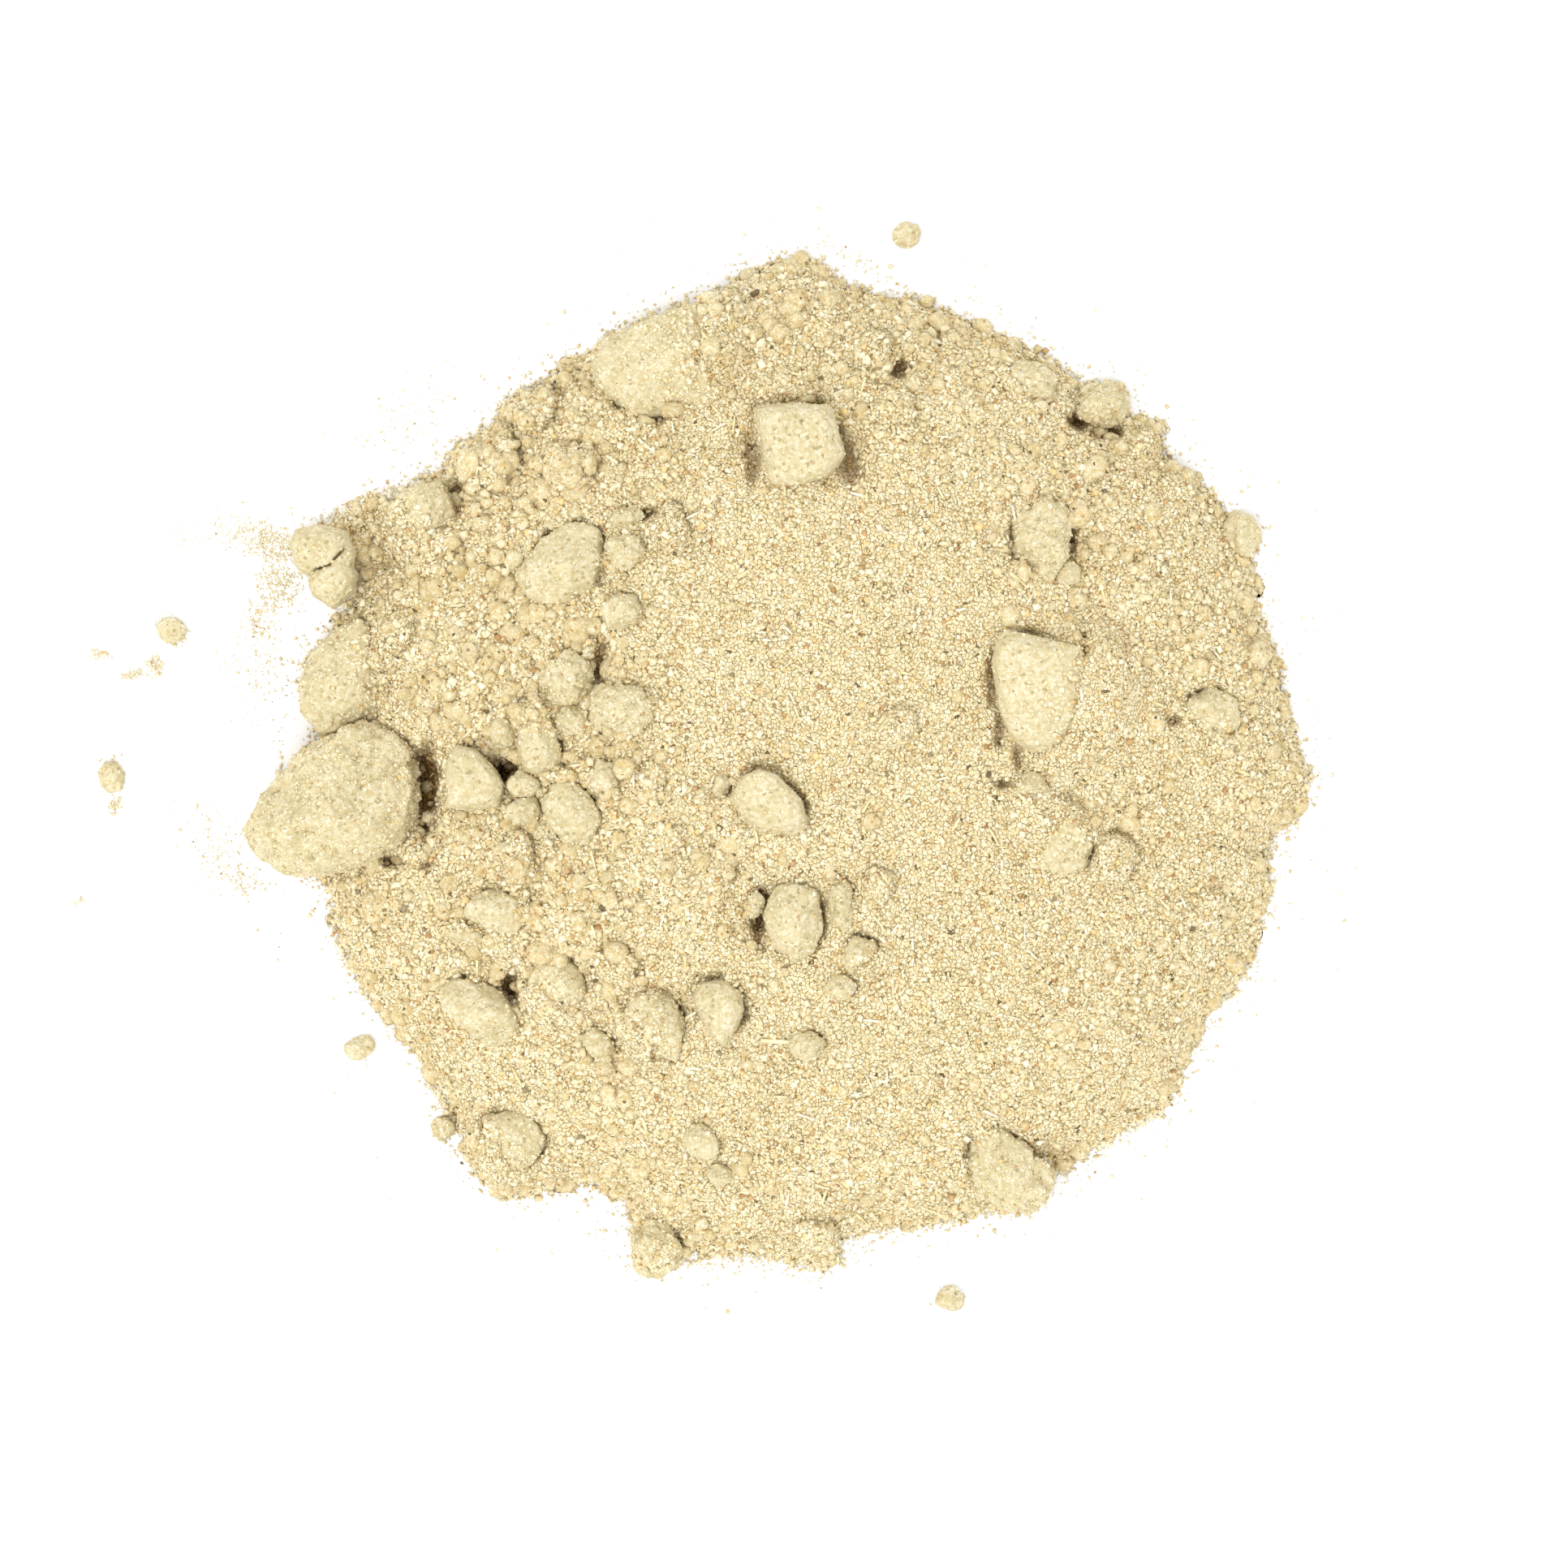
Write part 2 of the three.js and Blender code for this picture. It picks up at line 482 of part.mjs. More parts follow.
/** The heap of powder before the lumps are let into it: a dome of rings over a flat underside. */
function powderDome() {
  const vertices = [];
  const faces = [];
  const rings = [];
  const layouts = [
    [OUTER_SECTORS, OUTER_DEPTHS],
    [OUTER_SECTORS / 2, MIDDLE_DEPTHS],
    [OUTER_SECTORS / 4, INNER_DEPTHS],
  ];
  for (const [sectors, depths] of layouts) {
    for (const depth of depths) {
      const first = vertices.length;
      vertices.push(...powderRing(depth, sectors));
      rings.push({ first, sectors });
    }
  }
  for (let r = 0; r + 1 < rings.length; r += 1) {
    joinRings(faces, rings[r], rings[r + 1]);
  }
  const crown = vertices.length;
  vertices.push([0, 0, powderHeight(0, 0)]);
  const innermost = rings[rings.length - 1];
  for (let k = 0; k < innermost.sectors; k += 1) {
    const next = (k + 1) % innermost.sectors;
    faces.push(innermost.first + k, innermost.first + next, crown);
  }
  const floorMiddle = vertices.length;
  vertices.push([0, 0, 0]);
  for (let k = 0; k < OUTER_SECTORS; k += 1) {
    faces.push((k + 1) % OUTER_SECTORS, k, floorMiddle);
  }
  const geometry = new THREE.BufferGeometry();
  geometry.setAttribute('position', new THREE.Float32BufferAttribute(vertices.flat(), 3));
  geometry.setIndex(faces);
  return geometry;
}

/** Faces between a ring and the next one inwards, which has as many points or half as many. */
function joinRings(faces, outer, inner) {
  const step = outer.sectors / inner.sectors;
  for (let k = 0; k < inner.sectors; k += 1) {
    const a = outer.first + k * step;
    const b = outer.first + ((k * step + step) % outer.sectors);
    const c = inner.first + k;
    const d = inner.first + ((k + 1) % inner.sectors);
    if (step === 1) {
      faces.push(a, b, d, a, d, c);
    } else {
      const half = outer.first + k * step + 1;
      faces.push(a, half, c, half, b, d, half, d, c);
    }
  }
}

/** Heights and widths of a lump from its foot to its top, as shares of its thickness and outline. */
function lumpLevels(flatness) {
  const blend = (round, flat) => THREE.MathUtils.lerp(round, flat, flatness);
  return [
    { up: 0, wide: FOOT_WIDTH },
    { up: WIDEST_LEVEL, wide: 1 },
    { up: blend(0.76, 0.84), wide: blend(0.84, 0.95) },
    { up: blend(0.94, 0.98), wide: blend(0.5, 0.78) },
    { up: 1, wide: blend(0.1, 0.4) },
  ];
}

/** The angular, slightly uneven body of a lump, grown outwards by a given amount. */
function lumpGeometry(lump, bottom, grow) {
  const outline = lumpOutline(lump.corners);
  const middle = middleOf(outline);
  const crest = lump.crest ? new THREE.Vector3(...lump.crest, 0) : middle;
  const points = [];
  lumpLevels(lump.flatness).forEach(({ up, wide }, level) => {
    const lean = Math.max(0, (up - WIDEST_LEVEL) / (1 - WIDEST_LEVEL));
    const centre = middle.clone().lerp(crest, lean * lean);
    outline.forEach((corner, k) => {
      const spoke = corner.clone().sub(middle);
      const reach = spoke.length();
      const uneven = 1 + UNEVENNESS * wobble(k + lump.corners.length, level + 1);
      const radius = Math.max((reach * wide - INSET) * uneven + grow, CLEARANCE / 2);
      const wave = WAVINESS * up * (1 - up) * wobble(k, level + lump.corners.length);
      const z = bottom + lump.thickness * (up + wave) + grow * (2 * up - 1);
      points.push(centre.clone().addScaledVector(spoke, radius / reach).setZ(z));
    });
  });
  return new ConvexGeometry(points);
}

/** Height of a lump's underside: on the table, or sunk in the powder with some left below it. */
function lumpBottom(lump) {
  if (lump.onTable) {
    return 0;
  }
  const middle = middleOf(lumpOutline(lump.corners));
  const bottom = powderHeight(middle.x, middle.y) + lump.rise - lump.thickness;
  return Math.max(bottom, MIN_BED);
}

/** The solid of a three.js geometry, ready to join or cut. */
function toSolid(geometry) {
  geometry.deleteAttribute('normal');
  geometry.deleteAttribute('uv');
  const merged = mergeVertices(geometry, 1e-4);
  const mesh = new wasm.Mesh({
    numProp: 3,
    vertProperties: new Float32Array(merged.attributes.position.array),
    triVerts: new Uint32Array(merged.index.array),
  });
  return new wasm.Manifold(mesh);
}

/** A named three.js mesh of a solid. */
function toMesh(name, solid, material) {
  const { vertProperties, triVerts } = solid.getMesh();
  const geometry = new THREE.BufferGeometry();
  geometry.setAttribute('position', new THREE.BufferAttribute(vertProperties, 3));
  geometry.setIndex(new THREE.BufferAttribute(triVerts, 1));
  geometry.computeVertexNormals();
  const mesh = new THREE.Mesh(geometry, material);
  mesh.name = name;
  return mesh;
}

/** Loose ground ginger. */
function loosePowder() {
  return new THREE.MeshStandardMaterial({ color: 0xe6d4a6, roughness: 0.95, metalness: 0 });
}

/** Ground ginger that has caked together. */
function cakedPowder() {
  return new THREE.MeshStandardMaterial({ color: 0xe3d3a9, roughness: 0.9, metalness: 0 });
}

/** A wedge-shaped cutter along a line, whose runs overlap a little so that they join. */
function crackCutter({ line, width, footWidth, depth, overlap }, top) {
  let cutter = null;
  for (let k = 0; k + 1 < line.length; k += 1) {
    const from = new THREE.Vector3(...line[k], 0);
    const to = new THREE.Vector3(...line[k + 1], 0);
    const along = to.clone().sub(from).normalize();
    const across = new THREE.Vector3(-along.y, along.x, 0);
    const ends = [
      from.clone().addScaledVector(along, -overlap),
      to.clone().addScaledVector(along, overlap),
    ];
    const points = [];
    for (const end of ends) {
      for (const side of [-1, 1]) {
        points.push(end.clone().addScaledVector(across, side * width).setZ(top + overlap));
        points.push(end.clone().addScaledVector(across, side * footWidth).setZ(top - depth));
      }
    }
    const piece = toSolid(new ConvexGeometry(points));
    cutter = cutter ? cutter.add(piece) : piece;
  }
  return cutter;
}

/** The cracked clod's solid, grown outwards by a given amount; only the clod itself has the crack. */
function crackedClod(grow) {
  const { upper, lower, thickness, flatness, crack } = CRACKED_LUMP;
  const lobes = [upper, lower].map((corners) => (
    toSolid(lumpGeometry({ corners, flatness, thickness }, 0, grow))
  ));
  const whole = lobes[0].add(lobes[1]);
  return grow > 0 ? whole : whole.subtract(crackCutter(crack, thickness));
}

/** A crumb lying on the table. */
function looseCrumb({ x, y, length, width, height, turn }) {
  const points = [];
  const place = new THREE.Matrix4().makeTranslation(x, y, 0);
  place.multiply(new THREE.Matrix4().makeRotationZ(THREE.MathUtils.degToRad(turn)));
  CRUMB_LEVELS.forEach(({ up, wide }, level) => {
    for (let k = 0; k < CRUMB_SIDES; k += 1) {
      const angle = (2 * Math.PI * k) / CRUMB_SIDES;
      const reach = (wide / 2) * (1 + CRUMB_UNEVENNESS * wobble(k + Math.round(x), level));
      const point = new THREE.Vector3(
        length * reach * Math.cos(angle),
        width * reach * Math.sin(angle),
        height * up,
      );
      points.push(point.applyMatrix4(place));
    }
  });
  return toSolid(new ConvexGeometry(points));
}

/** The one body of a solid that is by far the largest. */
function mainBody(solid) {
  return solid.decompose().reduce((a, b) => (a.volume() > b.volume() ? a : b));
}

/** The whole heap: the powder with its pockets, the lumps in them, and the loose crumbs. */
function gingerHeap() {
  const group = new THREE.Group();
  group.name = 'ground_ginger_heap';
  let powder = toSolid(powderDome());
  for (const lump of LUMPS) {
    const bottom = lumpBottom(lump);
    powder = powder.subtract(toSolid(lumpGeometry(lump, bottom, CLEARANCE)));
    group.add(toMesh(lump.name, toSolid(lumpGeometry(lump, bottom, 0)), cakedPowder()));
  }
  powder = powder.subtract(crackedClod(CLEARANCE));
  group.add(toMesh(CRACKED_LUMP.name, crackedClod(0), cakedPowder()));
  for (const crumb of LOOSE_CRUMBS) {
    group.add(toMesh(crumb.name, looseCrumb(crumb), cakedPowder()));
  }
  group.add(toMesh('powder_heap', mainBody(powder), loosePowder()));
  return group;
}

export default gingerHeap();
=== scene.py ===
"""Shown surfaces of a low heap of ground ginger: loose powder, caked lumps, grains and dust.

Everything is in metres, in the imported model's frame: the table is z = 0, +Y points to the heap's
pointed side and -X to its largest clod. The powder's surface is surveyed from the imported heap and
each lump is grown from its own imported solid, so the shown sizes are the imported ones.
"""

import logging
import math
from collections.abc import Callable
from dataclasses import dataclass, field
from enum import Enum
from functools import partial
from itertools import accumulate, product
from typing import Any

import bmesh
import bpy
import numpy as np
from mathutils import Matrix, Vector
from mathutils.bvhtree import BVHTree


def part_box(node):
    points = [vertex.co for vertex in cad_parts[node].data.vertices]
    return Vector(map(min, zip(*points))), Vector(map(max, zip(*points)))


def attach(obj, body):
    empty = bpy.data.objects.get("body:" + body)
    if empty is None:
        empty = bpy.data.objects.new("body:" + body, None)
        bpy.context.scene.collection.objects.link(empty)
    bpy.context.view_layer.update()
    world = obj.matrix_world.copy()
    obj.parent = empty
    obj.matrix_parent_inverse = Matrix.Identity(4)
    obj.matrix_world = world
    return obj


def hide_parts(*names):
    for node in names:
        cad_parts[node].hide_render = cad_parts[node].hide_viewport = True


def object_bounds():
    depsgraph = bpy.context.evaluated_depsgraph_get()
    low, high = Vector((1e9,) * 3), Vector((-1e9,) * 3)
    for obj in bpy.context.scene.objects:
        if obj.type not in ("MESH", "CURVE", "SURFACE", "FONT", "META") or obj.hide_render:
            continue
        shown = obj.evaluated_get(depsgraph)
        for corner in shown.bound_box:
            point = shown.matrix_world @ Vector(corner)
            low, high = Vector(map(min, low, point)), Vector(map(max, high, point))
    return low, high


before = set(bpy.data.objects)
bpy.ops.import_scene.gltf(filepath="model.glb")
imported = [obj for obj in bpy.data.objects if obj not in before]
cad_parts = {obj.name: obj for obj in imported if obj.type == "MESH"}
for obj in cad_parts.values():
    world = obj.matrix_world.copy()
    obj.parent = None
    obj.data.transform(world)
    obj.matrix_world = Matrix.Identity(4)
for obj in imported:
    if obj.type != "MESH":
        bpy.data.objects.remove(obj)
CAD_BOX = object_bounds()
LOG = logging.getLogger("ginger_heap")

MM = 0.001
UP = np.array([0.0, 0.0, 1.0])
DOWN = Vector((0.0, 0.0, -1.0))
TINY = 1e-12
ROOT = "root"
HEAP_NODE = "powder_heap"
BAKE_MAP = "OFBake"
TINT = "tint"
DRAW_SEED = 41

Array = np.ndarray
Draw = np.random.Generator
Pair = tuple[float, float]
Shape = tuple[Array, Array]
Socket = bpy.types.NodeSocket
AddNode = Callable[..., bpy.types.Node]


# ---------------------------------------------------------------- colours and nodes


def linear(hex_colour: str) -> tuple[float, float, float, float]:
    """Turns an sRGB hex colour such as "#e8d9a9" into linear RGBA.

    Args:
        hex_colour: The colour as seen on a screen.

    Returns:
        Red, green, blue and alpha for a shader socket.
    """
    digits = hex_colour.lstrip("#")
    channels = [int(digits[k : k + 2], 16) / 255 for k in (0, 2, 4)]
    r, g, b = (c / 12.92 if c <= 0.04045 else ((c + 0.055) / 1.055) ** 2.4 for c in channels)
    return (r, g, b, 1.0)


def add_node(
    tree: bpy.types.NodeTree,
    kind: str,
    inputs: dict[Any, Any] | None = None,
    stops: tuple[tuple[float, str], ...] = (),
    **settings: Any,
) -> bpy.types.Node:
    """Adds a shader node, sets it up and feeds it.

    Args:
        tree: The material's or world's node tree.
        kind: The node's Blender type.
        inputs: Value or linked socket for each input, by name or number.
        stops: Position and sRGB hex colour of each stop, if it is a colour ramp.
        **settings: The node's own properties.

    Returns:
        The new node.
    """
    node = tree.nodes.new(kind)
    for name, value in settings.items():
        setattr(node, name, value)
    for name, value in (inputs or {}).items():
        if isinstance(value, Socket):
            tree.links.new(value, node.inputs[name])
        else:
            node.inputs[name].default_value = value
    for number, (position, colour) in enumerate(stops):
        elements = node.color_ramp.elements
        stop = elements[number] if number < len(elements) else elements.new(position)
        stop.position = position
        stop.color = linear(colour)
    return node


MULTIPLY = {"data_type": "RGBA", "blend_type": "MULTIPLY"}

# Dried ginger ground to a coarse powder is starch, fibre and a little peel. Seen close, nearly all
# its grains are cream or straw, with few golden, tan, grey and brown ones.
GRAIN_COLOURS: tuple[tuple[str, float], ...] = (
    ("#f5edd0", 0.22), ("#eee1bc", 0.38), ("#e7d7ac", 0.27), ("#e6cc94", 0.055), ("#d6c597", 0.05),
    ("#cba877", 0.016), ("#b98f5e", 0.005), ("#9d9070", 0.003), ("#786a4e", 0.001),
)
COMMON_GRAINS = 4
CRUMB_TINTS = ("#fffdf8", "#faf7f0", "#ffffff")
FIBRE_COLOURS = ("#fdf6dd", "#f8ecc2", "#f4e3b0")
PEEL_COLOURS = ("#b88a58", "#a07c4e", "#7d6a4a", "#c69a68", "#655a42", "#837b64")


@dataclass(frozen=True)
class Finish:
    """What every finish here has: a matt surface with a colour pattern, and most have a bump.

    Attributes:
        name: The material's name.
        roughness: Of the shader.
        gloss: Specular level of the shader, at the default IOR.
        bump: Depth and strength of the fine unevenness.
    """

    name: str
    roughness: float
    gloss: float
    bump: Pair = (0.0, 0.0)

    def material(self) -> bpy.types.Material:
        """Builds the material.

        Returns:
            The finished node material.
        """
        material = bpy.data.materials.new(self.name)
        material.use_nodes = True
        material.node_tree.nodes.clear()
        add = partial(add_node, material.node_tree)
        colour, height = self.pattern(add, add("ShaderNodeTexCoord").outputs["Object"])
        feeds = {"Base Color": colour, "Roughness": self.roughness, "Specular IOR Level": self.gloss}
        if height is not None:
            relief = {"Height": height, "Distance": self.bump[0], "Strength": self.bump[1]}
            feeds["Normal"] = add("ShaderNodeBump", relief).outputs[0]
        surface = add("ShaderNodeBsdfPrincipled", feeds)
        add("ShaderNodeOutputMaterial", {"Surface": surface.outputs[0]})
        return material

    def pattern(self, add: AddNode, where: Socket) -> tuple[Socket, Socket | None]:
        """Makes the colour and the height of the surface.

        Args:
            add: Adds a node to the material.
            where: Place on the object.

        Returns:
            Colour, and height if the finish has a bump.
        """
        raise NotImplementedError


@dataclass(frozen=True)
class LooseGinger(Finish):
    """Loose ground ginger: matt, grainy, with dark pits between the grains.

    The grains are a third to half a millimetre, so the eye sees salt-and-pepper colour and a
    rough, powdery surface with no shine. The dark pits between the grains are painted shade.
    """

    name: str = "ground_ginger_loose"
    roughness: float = 0.92
    gloss: float = 0.25
    bump: Pair = (0.14 * MM, 0.9)
    grain: float = 0.42 * MM
    blotch: float = 7.0 * MM
    # gap is the colour of the painted shade in the pits between the grains; depth is how strongly it is laid
    # on.
    gap: str = "#84734a"
    depth: float = 1.0

    def pattern(self, add: AddNode, where: Socket) -> tuple[Socket, Socket | None]:
        """A colour for each grain, painted shade in the pits between them, faint clouds and the mesh's own
        tint.

        Args:
            add: Adds a node to the material.
            where: Place on the object.

        Returns:
            Colour and height.
        """
        packing = {"Vector": where, "Scale": 1 / self.grain, "Randomness": 1.0}
        cells = add("ShaderNodeTexVoronoi", packing)
        gaps = add("ShaderNodeTexVoronoi", packing, feature="DISTANCE_TO_EDGE")
        pick = add("ShaderNodeSeparateColor", {"Color": cells.outputs["Color"]})
        ordered = sorted(GRAIN_COLOURS)
        starts = accumulate((share for _, share in ordered), initial=0.0)
        steps = [(start, colour) for start, (colour, _) in zip(starts, ordered, strict=False)]
        grain = add("ShaderNodeValToRGB", {"Fac": pick.outputs[0]}, steps)
        grain.color_ramp.interpolation = "CONSTANT"
        # Painted shade: the edges between the grain cells are darkened with the gap colour.
        pit_shade = add(
            "ShaderNodeValToRGB", {"Fac": gaps.outputs["Distance"]}, ((0.0, self.gap), (0.13, "#ffffff"))
        )
        pit_shaded = {0: self.depth, 6: grain.outputs["Color"], 7: pit_shade.outputs["Color"]}
        colour = add("ShaderNodeMix", pit_shaded, **MULTIPLY)
        cloud = add("ShaderNodeTexNoise", {"Vector": where, "Scale": 1 / self.blotch, "Detail": 3.0})
        shade = add("ShaderNodeValToRGB", {"Fac": cloud.outputs["Fac"]}, ((0.3, "#e9e4d4"), (0.7, "#ffffff")))
        colour = add("ShaderNodeMix", {0: 0.7, 6: colour.outputs[2], 7: shade.outputs["Color"]}, **MULTIPLY)
        # On the powder's surface the mesh's tint is painted shade for the deep gaps; on crumbs it is their
        # own colour.
        tint = add("ShaderNodeAttribute", attribute_name=TINT)
        colour = add("ShaderNodeMix", {0: 1.0, 6: colour.outputs[2], 7: tint.outputs["Color"]}, **MULTIPLY)
        fine = add("ShaderNodeTexNoise", {"Vector": where, "Scale": 3 / self.grain, "Detail": 4.0})
        both = {0: gaps.outputs["Distance"], 1: fine.outputs["Fac"]}
        return colour.outputs[2], add("ShaderNodeMath", both, operation="ADD").outputs[0]


@dataclass(frozen=True)
class CakedGinger(Finish):
    """Ground ginger that damp has caked into lumps: smoother, paler and a little greyer.

    The finest dust fills the gaps between the grains, so the eye sees an even chalky face with
    fine dark and cream speckles and faint cloudiness.
    """

    name: str = "ground_ginger_caked"
    roughness: float = 0.88
    gloss: float = 0.25
    bump: Pair = (0.12 * MM, 0.8)
    base: str = "#d4cbab"
    pale: str = "#dbd3b7"
    dim: str = "#cbc2a0"
    speck: str = "#94896a"
    grain: float = 0.3 * MM
    blotch: float = 2.6 * MM

    def pattern(self, add: AddNode, where: Socket) -> tuple[Socket, Socket | None]:
        """Faint clouds, a tone for each fine grain, and dark specks.

        Args:
            add: Adds a node to the material.
            where: Place on the object.

        Returns:
            Colour and height.
        """
        cloud = add("ShaderNodeTexNoise", {"Vector": where, "Scale": 1 / self.blotch, "Detail": 4.0})
        shades = ((0.3, self.dim), (0.5, self.base), (0.72, self.pale))
        body = add("ShaderNodeValToRGB", {"Fac": cloud.outputs["Fac"]}, shades)
        packing = {"Vector": where, "Scale": 1 / self.grain, "Randomness": 1.0}
        cells = add("ShaderNodeTexVoronoi", packing)
        pick = add("ShaderNodeSeparateColor", {"Color": cells.outputs["Color"]})
        tones = ((0.0, "#bcae88"), (0.04, "#e2d7bb"), (0.25, "#f2ead6"), (0.7, "#ffffff"))
        tone = add("ShaderNodeValToRGB", {"Fac": pick.outputs[0]}, tones)
        tone.color_ramp.interpolation = "CONSTANT"
        grained = {0: 0.75, 6: body.outputs["Color"], 7: tone.outputs["Color"]}
        colour = add("ShaderNodeMix", grained, **MULTIPLY)
        dotting = {"Vector": where, "Scale": 2.2 / self.grain, "Detail": 2.0, "Roughness": 0.6}
        dots = add("ShaderNodeTexNoise", dotting)
        few = {"Value": dots.outputs["Fac"], "From Min": 0.64, "From Max": 0.7}
        specked = {0: add("ShaderNodeMapRange", few).outputs[0], 6: colour.outputs[2], 7: linear(self.speck)}
        colour = add("ShaderNodeMix", specked, data_type="RGBA")
        fine = add("ShaderNodeTexNoise", {"Vector": where, "Scale": 1 / self.grain, "Detail": 5.0})
        return colour.outputs[2], fine.outputs["Fac"]


@dataclass(frozen=True)
class SingleGrain(Finish):
    """Broken grains and fibres of dried ginger, each with its own colour.

    A grain is a chip of starchy flesh, so it is matt and a little uneven in colour from one side
    to the other. Its colour comes with the mesh, as one tint for each grain; for grains down in the
    deep gaps the tint also carries painted shade.
    """

    name: str = "ginger_grain"
    roughness: float = 0.85
    gloss: float = 0.3
    bump: Pair = (0.05 * MM, 0.7)
    mottle: float = 0.16 * MM

    def pattern(self, add: AddNode, where: Socket) -> tuple[Socket, Socket | None]:
        """The grain's tint, mottled.

        Args:
            add: Adds a node to the material.
            where: Place on the object.

        Returns:
            Colour and height.
        """
        tint = add("ShaderNodeAttribute", attribute_name=TINT)
        noise = add("ShaderNodeTexNoise", {"Vector": where, "Scale": 1 / self.mottle, "Detail": 2.0})
        shade = add(
            "ShaderNodeValToRGB", {"Fac": noise.outputs["Fac"]}, ((0.25, "#d8d0bc"), (0.6, "#ffffff"))
        )
        mottled = {0: 0.6, 6: tint.outputs["Color"], 7: shade.outputs["Color"]}
        return add("ShaderNodeMix", mottled, **MULTIPLY).outputs[2], noise.outputs["Fac"]


@dataclass(frozen=True)
class WhiteBoard(Finish):
    """Matt white laminate board that the heap lies on, with only a trace of unevenness."""

    name: str = "white_board"
    roughness: float = 0.8
    gloss: float = 0.2
    light: str = "#f0f0f2"
    dark: str = "#ecedef"
    mottle: float = 40.0 * MM

    def pattern(self, add: AddNode, where: Socket) -> tuple[Socket, Socket | None]:
        """Two whites in broad, faint clouds.

        Args:
            add: Adds a node to the material.
            where: Place on the object.

        Returns:
            Colour, and no height.
        """
        noise = add("ShaderNodeTexNoise", {"Vector": where, "Scale": 1 / self.mottle, "Detail": 2.0})
        whites = ((0.3, self.dark), (0.7, self.light))
        return add("ShaderNodeValToRGB", {"Fac": noise.outputs["Fac"]}, whites).outputs["Color"], None


# ---------------------------------------------------------------- noise


TURN = np.array([[0.36, 0.48, -0.8], [-0.8, 0.6, 0.0], [0.48, 0.64, 0.6]])


def lattice_value(cell: Array, seed: int) -> Array:
    """A repeatable number from -1 to 1 for each whole-numbered lattice point.

    Args:
        cell: Whole numbers, shape (..., 3).
        seed: Which of many noises.

    Returns:
        One number for each point.
    """
    c = cell.astype(np.int64).view(np.uint64)
    mixed = c[..., 0] * np.uint64(0x9E3779B185EBCA87)
    mixed ^= c[..., 1] * np.uint64(0xC2B2AE3D27D4EB4F)
    mixed ^= (c[..., 2] + np.uint64(seed)) * np.uint64(0x165667B19E3779F9)
    mixed ^= mixed >> np.uint64(29)
    mixed *= np.uint64(0xBF58476D1CE4E5B9)
    mixed ^= mixed >> np.uint64(32)
    return (mixed & np.uint64(0xFFFFFF)).astype(np.float64) / float(0x7FFFFF) - 1.0


def smooth_noise(points: Array, wavelength: float, seed: int) -> Array:
    """Smooth noise from about -1 to 1.

    Args:
        points: Places, shape (n, 3).
        wavelength: Size of the swellings.
        seed: Which of many noises.

    Returns:
        One number for each place.
    """
    turned = points @ TURN.T / wavelength + 0.37 * seed
    cell = np.floor(turned).astype(np.int64)
    part = ease(turned - cell)
    total = np.zeros(len(points))
    for corner in product((0, 1), repeat=3):
        step = np.array(corner)
        weight = np.prod(np.where(step, part, 1 - part), axis=1)
        total += weight * lattice_value(cell + step, seed)
    return total


def packed_crumbs(points: Array, size: float, seed: int) -> Array:
    """Rounded crumbs packed side by side.

    Args:
        points: Places, shape (n, 3).
        size: Middling distance from crumb to crumb.
        seed: Which of many packings.

    Returns:
        1 in the middle of each crumb and 0 in the gaps between them.
    """
    scaled = points @ TURN.T / size
    home = np.floor(scaled).astype(np.int64)
    nearest = np.full(len(points), 2.0)
    for step in product((-1, 0, 1), repeat=3):
        cell = home + np.array(step)
        stray = np.stack([lattice_value(cell, seed + k) for k in range(3)], axis=1)
        girth = 0.74 + 0.2 * lattice_value(cell, seed + 3)
        far = np.linalg.norm(scaled - cell - 0.5 - 0.4 * stray, axis=1) / girth
        nearest = np.minimum(nearest, far)
    return np.sqrt(np.clip(1 - nearest**2, 0, 1))


@dataclass(frozen=True)
class Relief:
    """Unevenness of a surface; every size and height is in millimetres.

    Attributes:
        layers: Size and height of the swellings of each layer of smooth noise.
        crumbs: Size and height of the crumbs of each packing.
        seed: Which of many reliefs.
    """

    layers: tuple[Pair, ...]
    crumbs: tuple[Pair, ...]
    seed: int

    def swellings(self, points: Array) -> Array:
        """Heights in metres of the smooth noise at some places, shape (n, 3).

        Args:
            points: Places, shape (n, 3).

        Returns:
            One number for each place, in metres.
        """
        total = np.zeros(len(points))
        for k, (wavelength, height) in enumerate(self.layers):
            total += height * MM * smooth_noise(points, wavelength * MM, self.seed + 7 * k)
        return total

    def crumbling(self, points: Array) -> Array:
        """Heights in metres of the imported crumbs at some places, about zero on average.

        Args:
            points: Places, shape (n, 3).

        Returns:
            One number for each place, in metres.
        """
        total = np.zeros(len(points))
        for k, (size, height) in enumerate(self.crumbs):
            crumbs = packed_crumbs(points, size * MM, self.seed + 50 + 11 * k)
            total += height * MM * (crumbs - 0.6)
        return total


# ---------------------------------------------------------------- meshes and maps


